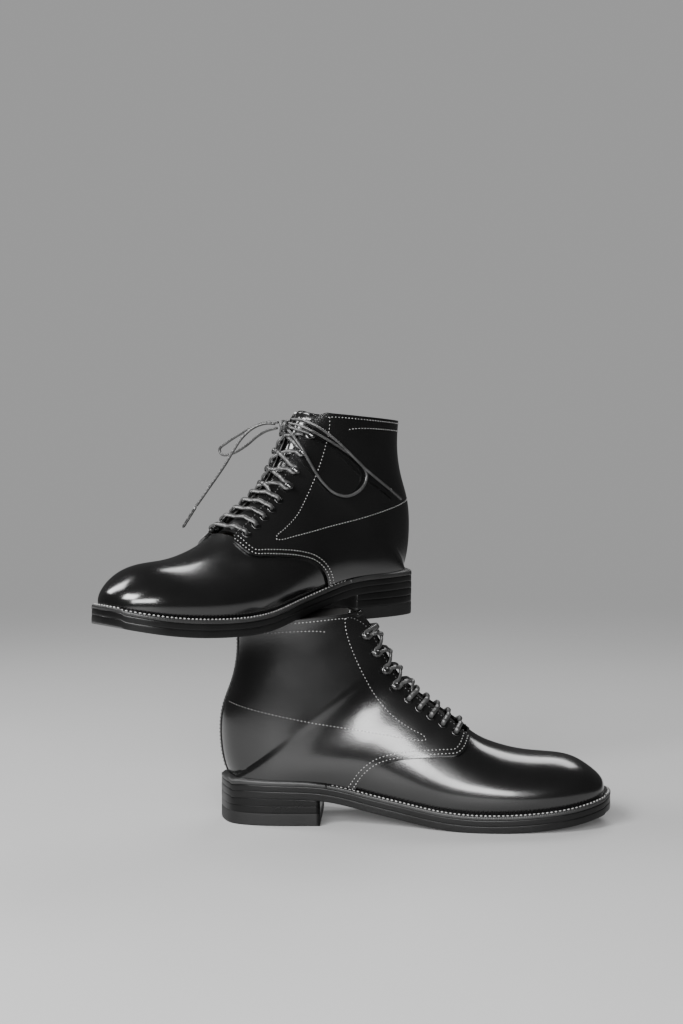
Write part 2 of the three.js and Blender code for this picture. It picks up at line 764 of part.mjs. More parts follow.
const looks = {
  outsole: { color: 0x191716, roughness: 0.55, metalness: 0 },
  midsole: { color: 0x1c1a18, roughness: 0.5, metalness: 0 },
  welt: { color: 0x2a2826, roughness: 0.55, metalness: 0 },
  heel_rand: { color: 0x22201e, roughness: 0.5, metalness: 0 },
  heel_lift_upper: { color: 0x161413, roughness: 0.5, metalness: 0 },
  heel_lift_lower: { color: 0x181615, roughness: 0.5, metalness: 0 },
  heel_top_lift: { color: 0x2b2b2c, roughness: 0.75, metalness: 0 },
  insole: { color: 0xa98a66, roughness: 0.8, metalness: 0 },
  cork_filler: { color: 0x8a6a48, roughness: 0.95, metalness: 0 },
  shank: { color: 0x8d9093, roughness: 0.35, metalness: 1 },
  sock_liner: { color: 0x2d2926, roughness: 0.6, metalness: 0 },
  vamp: { color: 0x0d0c0c, roughness: 0.22, metalness: 0 },
  vamp_lining: { color: 0x8b7358, roughness: 0.75, metalness: 0 },
  toe_puff: { color: 0x6f5d4a, roughness: 0.8, metalness: 0 },
  quarter_outer: { color: 0x0e0d0d, roughness: 0.25, metalness: 0 },
  quarter_inner: { color: 0x0e0d0d, roughness: 0.25, metalness: 0 },
  quarter_lining_outer: { color: 0x201d1b, roughness: 0.65, metalness: 0 },
  quarter_lining_inner: { color: 0x201d1b, roughness: 0.65, metalness: 0 },
  heel_counter: { color: 0x6f5d4a, roughness: 0.8, metalness: 0 },
  backstay: { color: 0x0f0e0e, roughness: 0.3, metalness: 0 },
  tongue: { color: 0x0f0e0e, roughness: 0.35, metalness: 0 },
  eyelet_row_outer: { color: 0x1d1d1f, roughness: 0.3, metalness: 1 },
  eyelet_row_inner: { color: 0x1d1d1f, roughness: 0.3, metalness: 1 },
  lace: { color: 0x34322f, roughness: 0.45, metalness: 0 },
  lace_knot: { color: 0x34322f, roughness: 0.45, metalness: 0 },
  aglet: { color: 0x101010, roughness: 0.3, metalness: 0 },
};

function addPiece(group, name, geometry, look) {
  const solid = facingOut(new THREE.BufferGeometry().copy(geometry).setIndex(indexOf(geometry)));
  const mesh = new THREE.Mesh(solid, new THREE.MeshStandardMaterial(look));
  mesh.name = name;
  group.add(mesh);
}

function boot(suffix, mirrored) {
  const group = new THREE.Group();
  for (const [name, build] of Object.entries(leftBoot)) {
    const geometry = build();
    if (mirrored) {
      geometry.scale(1, -1, 1);
    }
    addPiece(group, `${name}_${suffix}`, geometry, looks[name]);
  }
  return group;
}

const standing = boot('left', false);
const resting = boot('right', true);
resting.rotation.set(0, -rest.toeUp, Math.PI + rest.turn, 'ZYX');
resting.position.set(rest.x, rest.y, rest.z);

for (const [name, route] of Object.entries(bow)) {
  const points = route.map((point) => new THREE.Vector3(...point));
  addPiece(resting, name, cordAlong(points, laceRadius, bowSteps[name]), looks.lace);
}
for (const [name, { from, to }] of Object.entries(tags)) {
  addPiece(resting, name, straightTag(from, to, tagRadius), looks.aglet);
}

const pair = new THREE.Group();
pair.add(standing, resting);
pair.updateMatrixWorld(true);
const box = new THREE.Box3();
pair.traverse((piece) => {
  if (piece.isMesh && !(piece.name in bow) && !(piece.name in tags)) {
    box.expandByObject(piece, true);
  }
});
pair.position.set(-(box.min.x + box.max.x) / 2, -(box.min.y + box.max.y) / 2, -box.min.z);

export default pair;
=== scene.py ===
import math

import bmesh
import bpy
import numpy as np
from mathutils import Matrix, Vector
from mathutils.bvhtree import BVHTree


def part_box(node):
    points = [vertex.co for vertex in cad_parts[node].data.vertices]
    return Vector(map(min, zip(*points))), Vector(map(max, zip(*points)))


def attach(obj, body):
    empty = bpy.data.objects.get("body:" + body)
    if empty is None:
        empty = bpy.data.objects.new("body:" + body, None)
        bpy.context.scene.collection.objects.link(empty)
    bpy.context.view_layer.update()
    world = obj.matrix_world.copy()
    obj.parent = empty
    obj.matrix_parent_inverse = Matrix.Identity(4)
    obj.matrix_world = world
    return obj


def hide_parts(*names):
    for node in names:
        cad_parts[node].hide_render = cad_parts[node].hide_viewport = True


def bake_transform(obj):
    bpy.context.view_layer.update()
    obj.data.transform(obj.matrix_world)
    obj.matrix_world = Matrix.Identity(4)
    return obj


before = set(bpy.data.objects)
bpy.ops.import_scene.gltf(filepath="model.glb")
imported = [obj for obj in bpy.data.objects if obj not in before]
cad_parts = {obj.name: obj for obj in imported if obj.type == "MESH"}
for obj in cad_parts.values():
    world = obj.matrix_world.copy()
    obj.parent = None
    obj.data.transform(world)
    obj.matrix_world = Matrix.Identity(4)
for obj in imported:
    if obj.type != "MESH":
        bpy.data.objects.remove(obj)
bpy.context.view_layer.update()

# A pair of black lace-up boots: one stands, the other rests across its collar.
# The boots are drawn in millimetres in the frame of one left boot, +X to the
# toe and +Z up, and turned into metres in the frame's own place at the end.

# sections of the upper, toe tip to collar
# ridge x, z, end x, z, half width, open share, skew, y of ridge, y of end
sections = np.array([
    (295.2, 24, 295.2, 24, 0, 0.95, 0, -5, -5),
    (294.3, 31.2, 294, 22.8, 9.5, 0.95, 0, -5, -5),
    (290.6, 36.9, 290.2, 21.8, 18, 0.95, 0.02, -5, -4.6),
    (283.5, 42.8, 283.6, 20.4, 26, 0.95, 0.06, -5, -4),
    (272.5, 49.2, 274, 18.6, 33.8, 0.95, 0.1, -4.6, -3),
    (258, 52.6, 261, 16.6, 40.5, 0.95, 0.15, -4.4, -1.6),
    (240, 53.8, 241, 14.5, 45.8, 0.945, 0.2, -4.2, -0.3),
    (222, 56.6, 218, 13.2, 48.6, 0.94, 0.25, -4, 0.6),
    (206, 61.8, 194, 13, 49, 0.93, 0.3, -3.6, 1.6),
    (194, 69, 168, 14.7, 45.5, 0.91, 0.33, -3, 2.6),
    (180.5, 80, 141, 19, 39.5, 0.88, 0.36, -2.4, 3.2),
    (167, 90, 112, 25.1, 35, 0.87, 0.38, -1.8, 2.8),
    (154, 99.8, 80, 32.2, 33, 0.9, 0.4, -1.2, 1.6),
    (142.5, 110.5, 43, 34, 32.3, 0.93, 0.42, -0.6, 0.6),
    (134, 121.5, 16.5, 34.1, 31.6, 0.66, 0.43, 0, 0),
    (128, 132, 8.5, 34.4, 31, 0, 0.42, 0, 0),
    (123.5, 140.6, 3.8, 47, 30.2, 0, 0.38, 0, 0),
    (119.5, 148, 1.6, 66, 29.2, 0, 0.33, 0, 0),
    (116.2, 153.6, 3.4, 86, 28.2, 0, 0.28, 0, 0),
    (113.4, 157.6, 10, 105, 27.4, 0, 0.23, 0, 0),
    (111.2, 160.2, 14.2, 123.3, 27, 0, 0.18, 0, 0),
    (109.6, 161.8, 15, 139.5, 27, 0, 0.15, 0, 0),
    (108.4, 162, 14, 153.4, 27.4, 0, 0.12, 0, 0),
])
heelBack = 15
collar = 22
throat = 9.25
toeRise = 0.24
soleMargin = [4.8, 5, 5, 5, 5, 5, 5, 5, 5, 4.6, 4, 3.6, 3.4, 3.4, 5.6, 8.5]
facingArc = [11, 13.5, 12.4, 11.2, 10.2, 9.4, 9, 9, 9.4, 10.4, 12.4, 15, 18, 21]
facingStart = 9
holeStations = [9.72, 10.34, 10.94, 11.54, 12.14, 13, 14.05, 15.4, 17.1]
holeArcs = [22, 21.6, 20.8, 19.8, 18.6, 16.6, 15.6, 15.6, 16.2]
eyeletCount = 5

layers = {
    "gap": 0.06, "welt": 3.24, "midsole": 4.44, "outsole": 5.44, "topLift": 9.5, "liftsMeet": 15.1,
    "breastX": 78, "quarter": 1.7, "leather": 1.5, "lining": -0.2, "liningThick": 1.1, "tongue": -3.4,
    "tongueThick": 2.2, "backstay": 2.7, "backstayThick": 1.0,
}


def smoothThrough(values):
    # a natural cubic spline through values one apart
    values = np.asarray(values, float)
    last = len(values) - 1
    bend = np.zeros(last + 1)
    ratio = np.zeros(last + 1)
    for i in range(1, last):
        pull = 6 * (values[i + 1] - 2 * values[i] + values[i - 1])
        scale = 4 - ratio[i - 1]
        ratio[i] = 1 / scale
        bend[i] = (pull - bend[i - 1]) / scale
    for i in range(last - 1, 0, -1):
        bend[i] -= ratio[i] * bend[i + 1]

    def at(where):
        where = np.asarray(where, float)
        i = np.clip(np.floor(where).astype(int), 0, last - 1)
        b = where - i
        a = 1 - b
        return a * values[i] + b * values[i + 1] + ((a ** 3 - a) * bend[i] + (b ** 3 - b) * bend[i + 1]) / 6
    return at


frontX, frontZ, endX, endZ, halfWidth = (smoothThrough(sections[:, k]) for k in range(5))
openTable = smoothThrough(sections[:heelBack + 1, 5])
skew, yFront, yEnd = (smoothThrough(sections[:, k]) for k in (6, 7, 8))
margin = smoothThrough(soleMargin)
facingWidth = smoothThrough(facingArc)


def openShare(station):
    # how far each section is open below, easing to closed at the back of the heel
    last = heelBack - 1
    part = np.clip(station - last, 0, 1)
    start = openTable(np.array([float(last)]))[0]
    slope = (openTable(np.array([last + 0.01])) - openTable(np.array([last - 0.01])))[0] / 0.02
    closing = start * (2 * part ** 3 - 3 * part ** 2 + 1) + slope * (part ** 3 - 2 * part ** 2 + part)
    return np.where(station > last, closing, openTable(station))


def surface(station, around):
    station, around = np.broadcast_arrays(np.asarray(station, float), np.asarray(around, float))
    opening = np.where(station >= heelBack, 0, np.clip(openShare(np.minimum(station, heelBack)), 0, 0.999))
    lastAngle = math.pi - np.arcsin(opening)
    angle = around * lastAngle
    share = (1 - np.cos(angle)) / (1 - np.cos(lastAngle))
    along = share * (1 + skew(station) * (1 - share))
    x = frontX(station) * (1 - along) + endX(station) * along
    y = yFront(station) * (1 - along) + yEnd(station) * along + halfWidth(station) * np.sin(angle)
    z = frontZ(station) * (1 - along) + endZ(station) * along
    return np.stack([x, y, z], axis=-1)


def unit(vectors):
    return vectors / np.maximum(np.linalg.norm(vectors, axis=-1, keepdims=True), 1e-9)


def slopes(station, around, alongReach=0.02, roundReach=0.01):
    before = np.maximum(0, station - alongReach)
    span = (station + alongReach - before)[..., None]
    alongStep = (surface(station + alongReach, around) - surface(before, around)) / span
    roundStep = surface(station, around + roundReach) - surface(station, around - roundReach)
    roundStep = roundStep / (2 * roundReach)
    return alongStep, roundStep


def outward(station, around):
    station, around = np.broadcast_arrays(np.asarray(station, float), np.asarray(around, float))
    alongStep, roundStep = slopes(station, around)
    normal = unit(np.cross(roundStep, alongStep))
    normal[station < 0.05] = (1, 0, 0)  # the toe's tip, where the steps vanish
    return normal


denseStations = np.linspace(0, heelBack, 1501)
denseEndX = endX(denseStations)


def soleLine(x):
    station = np.interp(-np.asarray(x), -denseEndX, denseStations)
    return endZ(station) + toeRise * np.maximum(0, x - denseEndX[0])


def stationAt(x):
    return float(np.interp(-x, -denseEndX, denseStations))


def offSurface(station, around, offset):
    points = surface(station, around) + outward(station, around) * np.asarray(offset)[..., None]
    points[..., 2] = np.maximum(points[..., 2], soleLine(points[..., 0]) - 0.2)
    return points


# lengths round the upper, to find places by a distance from the ridge or from the back
tableStations = np.linspace(0, collar, 177)
tableRounds = np.linspace(0, 1, 201)
tablePoints = surface(tableStations[:, None], tableRounds[None, :])
tableLengths = np.concatenate([
    np.zeros((len(tableStations), 1)),
    np.cumsum(np.linalg.norm(np.diff(tablePoints, axis=1), axis=2), axis=1)], axis=1)


def lengthsAt(station):
    at = np.clip(station / collar * (len(tableStations) - 1), 0, len(tableStations) - 1.001)
    i = int(at)
    return tableLengths[i] * (1 - (at - i)) + tableLengths[i + 1] * (at - i)


def roundAtArc(station, arc, fromBack=False):
    station, arc = np.broadcast_arrays(np.asarray(station, float), np.asarray(arc, float))
    flat = []
    for s, a in zip(station.ravel(), arc.ravel()):
        lengths = lengthsAt(s)
        flat.append(np.interp(lengths[-1] - a if fromBack else a, lengths, tableRounds))
    return np.array(flat).reshape(station.shape)


def seenAt(x, z):
    # the section through a side-view point, by halving, then the way round it
    low, high = 1.0, float(collar)
    for _ in range(30):
        middle = (low + high) / 2
        dx = endX(middle) - frontX(middle)
        dz = endZ(middle) - frontZ(middle)
        if dx * (z - frontZ(middle)) - dz * (x - frontX(middle)) < 0:
            low = middle
        else:
            high = middle
    station = (low + high) / 2
    rounds = np.linspace(0, 1, 400)
    points = surface(station, rounds)
    reach = np.hypot(points[:, 0] - frontX(station), points[:, 2] - frontZ(station))
    target = math.hypot(x - frontX(station), z - frontZ(station))
    return station, float(np.interp(target, reach, rounds))


def arcLengths(points):
    return np.concatenate([[0], np.cumsum(np.linalg.norm(np.diff(points, axis=0), axis=1))])


def pointsAt(at, lengths, points):
    return np.stack([np.interp(at, lengths, points[:, k]) for k in range(points.shape[1])], axis=1)


def evenly(points, count):
    lengths = arcLengths(points)
    return pointsAt(np.linspace(0, lengths[-1], count + 1), lengths, points)


def smoothPath(points, count, closed=False):
    # a centripetal curve through the points, in even steps
    points = np.array(points, float)
    if closed:
        control = np.concatenate([points[-1:], points, points[:2]])
    else:
        control = np.concatenate([[2 * points[0] - points[1]], points, [2 * points[-1] - points[-2]]])
    dense = []
    for p0, p1, p2, p3 in zip(control, control[1:], control[2:], control[3:]):
        t1 = np.linalg.norm(p1 - p0) ** 0.5
        t2 = t1 + np.linalg.norm(p2 - p1) ** 0.5
        t3 = t2 + np.linalg.norm(p3 - p2) ** 0.5
        t = np.linspace(t1, t2, 20, endpoint=False)[:, None]
        a1 = (t1 - t) / t1 * p0 + t / t1 * p1
        a2 = (t2 - t) / (t2 - t1) * p1 + (t - t1) / (t2 - t1) * p2
        a3 = (t3 - t) / (t3 - t2) * p2 + (t - t2) / (t3 - t2) * p3
        b1 = (t2 - t) / t2 * a1 + t / t2 * a2
        b2 = (t3 - t) / (t3 - t1) * a2 + (t - t1) / (t3 - t1) * a3
        dense.append((t2 - t) / (t2 - t1) * b1 + (t - t1) / (t2 - t1) * b2)
    return evenly(np.concatenate(dense + [control[-2:-1]]), count)


def curveOnUpper(points, count=140):
    # points are x and z, as the boot is seen from the side
    places = np.array([seenAt(*p) for p in smoothPath(points, count)])
    return places[:, 0], places[:, 1]


# seams
def onSoleLine(x):
    return x, float(soleLine(x))


quarterSeam = curveOnUpper([
    (191.5, 66.5), (188.5, 60), (183.5, 56), (170, 54.8), (156, 53.8), (138, 51.6), (123, 47.4), (113, 40),
    onSoleLine(104),
])
vampRear = curveOnUpper([
    (float(frontX(throat)), float(frontZ(throat))), (184, 66), (179, 61), (156, 59), (137, 57), (117, 52),
    (105, 42), onSoleLine(96),
])
liningSeam = curveOnUpper([
    (95.8, 158.4), (96.5, 150), (98.5, 142), (103, 130), (110, 115), (119, 99), (131, 85), (146, 74.5),
    (156.5, 69), (158.5, 66.6), (155, 65.8), (138, 68.2), (108, 73), (74, 79), (46, 84.5), (24, 89), (9, 92),
])


def onCurve(curve, share):
    at = np.clip(share, 0, 1) * (len(curve[0]) - 1)
    index = np.arange(len(curve[0]))
    return np.interp(at, index, curve[0]), np.interp(at, index, curve[1])


def vampPlace(u, v):
    across = 2 * v - 1
    rearStation, rearRound = onCurve(vampRear, np.abs(across))
    around = np.abs(across) * (1 - u * u) + rearRound * u * u
    return u * rearStation, np.sign(across) * around


def facingEdge(station):
    return roundAtArc(station, facingWidth(station - facingStart))


def quarterPlace(side, backGap=0.003):
    tipStation, tipRound = (c[0] for c in quarterSeam)
    footStation = quarterSeam[0][-1]

    def place(u, v):
        seamStation, seamRound = onCurve(quarterSeam, v)
        facingStation = collar + (tipStation - collar) * u
        backStation = collar + (footStation - collar) * u
        lower = np.clip(u * 8 - 7, 0, 1)
        facing = facingEdge(facingStation) * (1 - lower) + tipRound * lower
        station = (1 - v) * facingStation + v * backStation
        station = station + u * (seamStation - (1 - v) * tipStation - v * footStation)
        around = (1 - v) * facing + v + u * (seamRound - (1 - v) * tipRound - v)
        return station, side * np.minimum(around, 1 - backGap)
    return place


def shifted(curve, distance):
    # the same curve, moved sideways over the upper
    station, around = (np.asarray(c, float) for c in curve)
    alongStep, roundStep = slopes(station, around)
    tangent = unit(np.gradient(surface(station, around), axis=0))
    sideways = np.cross(outward(station, around), tangent) * distance
    aa = (alongStep ** 2).sum(1)
    ab = (alongStep * roundStep).sum(1)
    bb = (roundStep ** 2).sum(1)
    pa = (alongStep * sideways).sum(1)
    pb = (roundStep * sideways).sum(1)
    det = aa * bb - ab * ab
    return station + (pa * bb - pb * ab) / det, around + (pb * aa - pa * ab) / det


# sole outline
heelRounding = {
    "stations": [13.2, 13.4, 13.6, 13.8, 14, 14.3, 14.5, 14.6, 14.7, 14.8, 14.9, 15],
    "back": [0, 0.35, 0.8, 1.2, 1.5, 1.58, 1.59, 1.52, 1.36, 1.08, 0.67, 0],
}


def soleEdge(station, side, beyond):
    station = np.asarray(station, float)
    here = surface(station, side)[..., :2]
    ahead = surface(np.minimum(heelBack, station + 0.03), side)[..., :2]
    behind = surface(np.maximum(0, station - 0.03), side)[..., :2]
    along = ahead - behind
    out = unit(np.stack([along[..., 1], -along[..., 0]], axis=-1)) * np.asarray(side)[..., None]
    out[station < 0.01] = (1, 0)
    out[station > heelBack - 0.01] = (-1, 0)
    edge = here + out * np.asarray(beyond)[..., None]
    edge[..., 0] -= np.interp(station, heelRounding["stations"], heelRounding["back"])
    return edge


def weltTop(x):
    return soleLine(x) - layers["gap"]


def midsoleTop(x):
    return soleLine(x) - layers["welt"] - layers["gap"]


def outsoleTop(x):
    return midsoleTop(x) - layers["midsole"] - layers["gap"]


def outsoleBottom(x):
    return outsoleTop(x) - layers["outsole"]


# where each boot is
rest = {"x": 136.3, "y": 95.5, "z": 150, "turn": 0.782, "toeUp": 0.016}
outlineStations = np.array([0, 0.5, 1, 1.5, 2, *range(3, 14), 13.5, 14, 14.5, 15])
outline = np.concatenate([
    soleEdge(outlineStations, np.full(len(outlineStations), side), margin(outlineStations))
    for side in (1, -1)])
soleLow = Vector((*outline.min(axis=0), 0)) / 1000
shift = Vector(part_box("outsole_left")[0]) - soleLow
shift.z = 0
# the standing boot's place is the bare change of units
toMetres = Matrix.Translation(shift) @ Matrix.Diagonal((0.001, 0.001, 0.001, 1))
restingPlain = (toMetres @ Matrix.Translation((rest["x"], rest["y"], rest["z"]))
                @ Matrix.Rotation(math.pi + rest["turn"], 4, "Z") @ Matrix.Rotation(-rest["toeUp"], 4, "Y"))
restingPlace = restingPlain @ Matrix.Diagonal((1, -1, 1, 1))
print("frame read, shift", tuple(round(v, 4) for v in shift))

# camera
cameraView = {"place": (158.4, -1517.1, 365.0), "aim": (-0.0428, 0.9956, -0.0839), "lens": 69.96}


def addCamera(values):
    data = bpy.data.cameras.new("camera")
    data.lens = values["lens"]
    data.clip_end = 30
    camera = bpy.data.objects.new("camera", data)
    bpy.context.collection.objects.link(camera)
    camera.location = toMetres @ Vector(values["place"])
    camera.rotation_euler = Vector(values["aim"]).to_track_quat("-Z", "Y").to_euler()
    bpy.context.scene.camera = camera


addCamera(cameraView)
print("camera placed")


# materials
def newGroup(name, inputs, outputs):
    group = bpy.data.node_groups.new(name, "ShaderNodeTree")
    for label, value in inputs:
        socket = group.interface.new_socket(label, in_out="INPUT", socket_type="NodeSocketFloat")
        socket.default_value = value
    for label in outputs:
        group.interface.new_socket(label, in_out="OUTPUT", socket_type="NodeSocketFloat")
    ins = group.nodes.new("NodeGroupInput")
    outs = group.nodes.new("NodeGroupOutput")
    return group, ins, outs


def addNode(tree, kind, settings=(), values=(), links=()):
    node = tree.nodes.new(kind)
    for label, value in dict(settings).items():
        setattr(node, label, value)
    for label, value in dict(values).items():
        node.inputs[label].default_value = value
    for label, source in dict(links).items():
        tree.links.new(source, node.inputs[label])
    return node


def makeGrain():
    group, ins, outs = newGroup("leatherGrain", [("Scale", 1800), ("Waves", 60)],
                                ["Height", "Tone", "Scuffs"])
    where = addNode(group, "ShaderNodeTexCoord").outputs["Object"]
    pores = addNode(group, "ShaderNodeTexVoronoi", {"feature": "SMOOTH_F1"}, {"Smoothness": 0.6},
                    {"Vector": where, "Scale": ins.outputs["Scale"]})
    fine = addNode(group, "ShaderNodeTexNoise", values={"Detail": 6, "Roughness": 0.6},
                   links={"Vector": where, "Scale": ins.outputs["Waves"]})
    broad = addNode(group, "ShaderNodeTexNoise", values={"Scale": 14, "Detail": 3}, links={"Vector": where})
    total = addNode(group, "ShaderNodeMath", {"operation": "MULTIPLY_ADD"}, {1: 0.35},
                    {0: pores.outputs["Distance"], 2: fine.outputs["Fac"]})
    streaks = addNode(group, "ShaderNodeTexNoise", values={"Scale": 320, "Detail": 8, "Roughness": 0.75},
                      links={"Vector": where})
    scuffs = addNode(group, "ShaderNodeMapRange", values={"From Min": 0.6, "From Max": 0.78},
                     links={"Value": streaks.outputs["Fac"]})
    group.links.new(total.outputs[0], outs.inputs["Height"])
    group.links.new(broad.outputs["Fac"], outs.inputs["Tone"])
    group.links.new(scuffs.outputs[0], outs.inputs["Scuffs"])
    return group


def makeFibres():
    group, ins, outs = newGroup("edgeFibres", [("Scale", 90), ("Stretch", 12)], ["Height", "Tone"])
    where = addNode(group, "ShaderNodeTexCoord").outputs["Object"]
    squeeze = addNode(group, "ShaderNodeCombineXYZ", values={"X": 1, "Y": 1},
                      links={"Z": ins.outputs["Stretch"]})
    stretched = addNode(group, "ShaderNodeVectorMath", {"operation": "MULTIPLY"},
                        links={0: where, 1: squeeze.outputs[0]})
    lines = addNode(group, "ShaderNodeTexNoise", values={"Detail": 7, "Roughness": 0.65},
                    links={"Vector": stretched.outputs[0], "Scale": ins.outputs["Scale"]})
    broad = addNode(group, "ShaderNodeTexNoise", values={"Scale": 22, "Detail": 4}, links={"Vector": where})
    group.links.new(lines.outputs["Fac"], outs.inputs["Height"])
    group.links.new(broad.outputs["Fac"], outs.inputs["Tone"])
    return group


def makeBraid():
    group, ins, outs = newGroup("cordBraid", [("Strands", 6)], ["Height", "Tone"])
    where = addNode(group, "ShaderNodeUVMap", {"uv_map": "UVMap"}).outputs["UV"]
    parts = addNode(group, "ShaderNodeSeparateXYZ", links={0: where})
    turned = addNode(group, "ShaderNodeMath", {"operation": "MULTIPLY"}, links={0: parts.outputs["Y"],
                     1: ins.outputs["Strands"]})
    waves = []
    for way in ("ADD", "SUBTRACT"):
        slant = addNode(group, "ShaderNodeMath", {"operation": way},
                        links={0: parts.outputs["X"], 1: turned.outputs[0]})
        full = addNode(group, "ShaderNodeMath", {"operation": "MULTIPLY"}, {1: 2 * math.pi},
                       {0: slant.outputs[0]})
        waves.append(addNode(group, "ShaderNodeMath", {"operation": "SINE"}, links={0: full.outputs[0]}))
    braid = addNode(group, "ShaderNodeMath", {"operation": "MAXIMUM"},
                    links={0: waves[0].outputs[0], 1: waves[1].outputs[0]})
    place = addNode(group, "ShaderNodeTexCoord").outputs["Object"]
    dirt = addNode(group, "ShaderNodeTexNoise", values={"Scale": 130, "Detail": 5}, links={"Vector": place})
    group.links.new(braid.outputs[0], outs.inputs["Height"])
    group.links.new(dirt.outputs["Fac"], outs.inputs["Tone"])
    return group


grainGroup = makeGrain()
fibreGroup = makeFibres()
braidGroup = makeBraid()
toneSpread = (0.3, 0.7)  # the part of a noise's range that a finish uses


def surfaceMaterial(name, group, values):
    material = bpy.data.materials.new(name)
    material.use_nodes = True
    tree = material.node_tree
    shader = tree.nodes["Principled BSDF"]
    effect = addNode(tree, "ShaderNodeGroup", {"node_tree": group}, values.get("pattern", {}))
    ramp = addNode(tree, "ShaderNodeValToRGB", links={"Fac": effect.outputs["Tone"]})
    warm = values.get("warm", 1)
    for stop, position, tone in zip(ramp.color_ramp.elements, toneSpread, values["colours"]):
        stop.position = position
        stop.color = (tone, tone * warm, tone * warm ** 2, 1)
    colour = ramp.outputs["Color"]
    if "Scuffs" in effect.outputs and values.get("scuffs"):
        worn = addNode(tree, "ShaderNodeMath", {"operation": "MULTIPLY"}, {1: values["scuffs"]},
                       {0: effect.outputs["Scuffs"]})
        mix = addNode(tree, "ShaderNodeMix", {"data_type": "RGBA"}, links={"Factor": worn.outputs[0]})
        tree.links.new(colour, mix.inputs[6])
        paler = values["colours"][1] * 4
        mix.inputs[7].default_value = (paler, paler, paler, 1)
        colour = mix.outputs[2]
    tree.links.new(colour, shader.inputs["Base Color"])
    smooth, dull = values["roughness"]
    rough = addNode(tree, "ShaderNodeMapRange", values={"From Min": toneSpread[0], "From Max": toneSpread[1],
                    "To Min": smooth, "To Max": dull}, links={"Value": effect.outputs["Tone"]})
    tree.links.new(rough.outputs[0], shader.inputs["Roughness"])
    bump = addNode(tree, "ShaderNodeBump", values={"Strength": values["bump"], "Distance": values["depth"]},
                   links={"Height": effect.outputs["Height"]})
    tree.links.new(bump.outputs["Normal"], shader.inputs["Normal"])
    for label, key, usual in (("Metallic", "metal", 0), ("Coat Weight", "coat", 0),
                              ("Coat Roughness", "coatRough", 0.1), ("Sheen Weight", "sheen", 0),
                              ("Specular IOR Level", "specular", 0.5)):
        shader.inputs[label].default_value = values.get(key, usual)
    return material


finishes = {
    "polishedLeather": {"group": grainGroup, "colours": (0.003, 0.006), "roughness": (0.16, 0.25),
                        "bump": 0.28, "depth": 0.0004, "coat": 0.55, "coatRough": 0.1, "scuffs": 0.02,
                        "specular": 0.6, "pattern": {"Scale": 1500, "Waves": 45}},
    "tongueLeather": {"group": grainGroup, "colours": (0.005, 0.01), "roughness": (0.2, 0.3), "bump": 0.35,
                      "depth": 0.0005, "coat": 0.5, "coatRough": 0.12,
                      "pattern": {"Scale": 900, "Waves": 110}},
    "liningLeather": {"group": grainGroup, "colours": (0.02, 0.035), "roughness": (0.5, 0.65), "bump": 0.4,
                      "depth": 0.0004, "pattern": {"Scale": 1100, "Waves": 160}, "warm": 0.97},
    "soleLeather": {"group": fibreGroup, "colours": (0.003, 0.007), "roughness": (0.26, 0.4), "bump": 0.12,
                    "depth": 0.0004, "specular": 0.3, "pattern": {"Scale": 60, "Stretch": 22}},
    "weltLeather": {"group": fibreGroup, "colours": (0.012, 0.028), "roughness": (0.32, 0.5), "bump": 0.5,
                    "depth": 0.0004, "pattern": {"Scale": 240, "Stretch": 4}},
    "heelLeather": {"group": fibreGroup, "colours": (0.002, 0.005), "roughness": (0.26, 0.38), "bump": 0.1,
                    "depth": 0.0004, "specular": 0.26, "pattern": {"Scale": 50, "Stretch": 40}},
    "heelRubber": {"group": grainGroup, "colours": (0.008, 0.014), "roughness": (0.5, 0.66), "bump": 0.35,
                   "depth": 0.0004, "specular": 0.3, "pattern": {"Scale": 2200, "Waves": 300}},
    "thread": {"group": braidGroup, "colours": (0.26, 0.46), "roughness": (0.45, 0.6), "bump": 0.4,
               "depth": 0.0001, "pattern": {"Strands": 2}, "warm": 0.99},
    "darkThread": {"group": braidGroup, "colours": (0.05, 0.12), "roughness": (0.4, 0.55), "bump": 0.4,
                   "depth": 0.0001, "pattern": {"Strands": 2}},
    "waxedLace": {"group": braidGroup, "colours": (0.025, 0.07), "roughness": (0.32, 0.46), "bump": 0.3,
                  "depth": 0.00025, "pattern": {"Strands": 3}, "coat": 0.35, "coatRough": 0.2},
    "laceTag": {"group": grainGroup, "colours": (0.02, 0.04), "roughness": (0.18, 0.3), "bump": 0.1,
                "depth": 0.0002, "coat": 0.5},
    "eyeletMetal": {"group": grainGroup, "colours": (0.05, 0.11), "roughness": (0.14, 0.28), "bump": 0.12,
                    "depth": 0.0002, "metal": 1, "pattern": {"Scale": 900, "Waves": 350}},
    "hookEnamel": {"group": grainGroup, "colours": (0.008, 0.016), "roughness": (0.08, 0.16), "bump": 0.08,
                   "depth": 0.0002, "coat": 1, "coatRough": 0.05, "pattern": {"Scale": 700, "Waves": 250}},
    "plainLeather": {"group": grainGroup, "colours": (0.42, 0.56), "roughness": (0.55, 0.7), "bump": 0.4,
                     "depth": 0.0004, "warm": 0.8},
    "cork": {"group": grainGroup, "colours": (0.28, 0.48), "roughness": (0.85, 0.95), "bump": 0.9,
             "depth": 0.001, "warm": 0.75, "pattern": {"Scale": 500, "Waves": 400}},
    "shankSteel": {"group": fibreGroup, "colours": (0.45, 0.6), "roughness": (0.25, 0.4), "bump": 0.2,
                   "depth": 0.0002, "metal": 1},
    "liningCloth": {"group": grainGroup, "colours": (0.36, 0.46), "roughness": (0.75, 0.9), "bump": 0.6,
                    "depth": 0.0004, "warm": 0.88, "sheen": 0.2, "pattern": {"Scale": 1400, "Waves": 700}},
    "stiffBoard": {"group": grainGroup, "colours": (0.03, 0.05), "roughness": (0.7, 0.85), "bump": 0.4,
                   "depth": 0.0004, "warm": 0.85},
}
materials = {finish: surfaceMaterial(finish, values["group"], values) for finish, values in finishes.items()}
print("materials made:", len(materials))


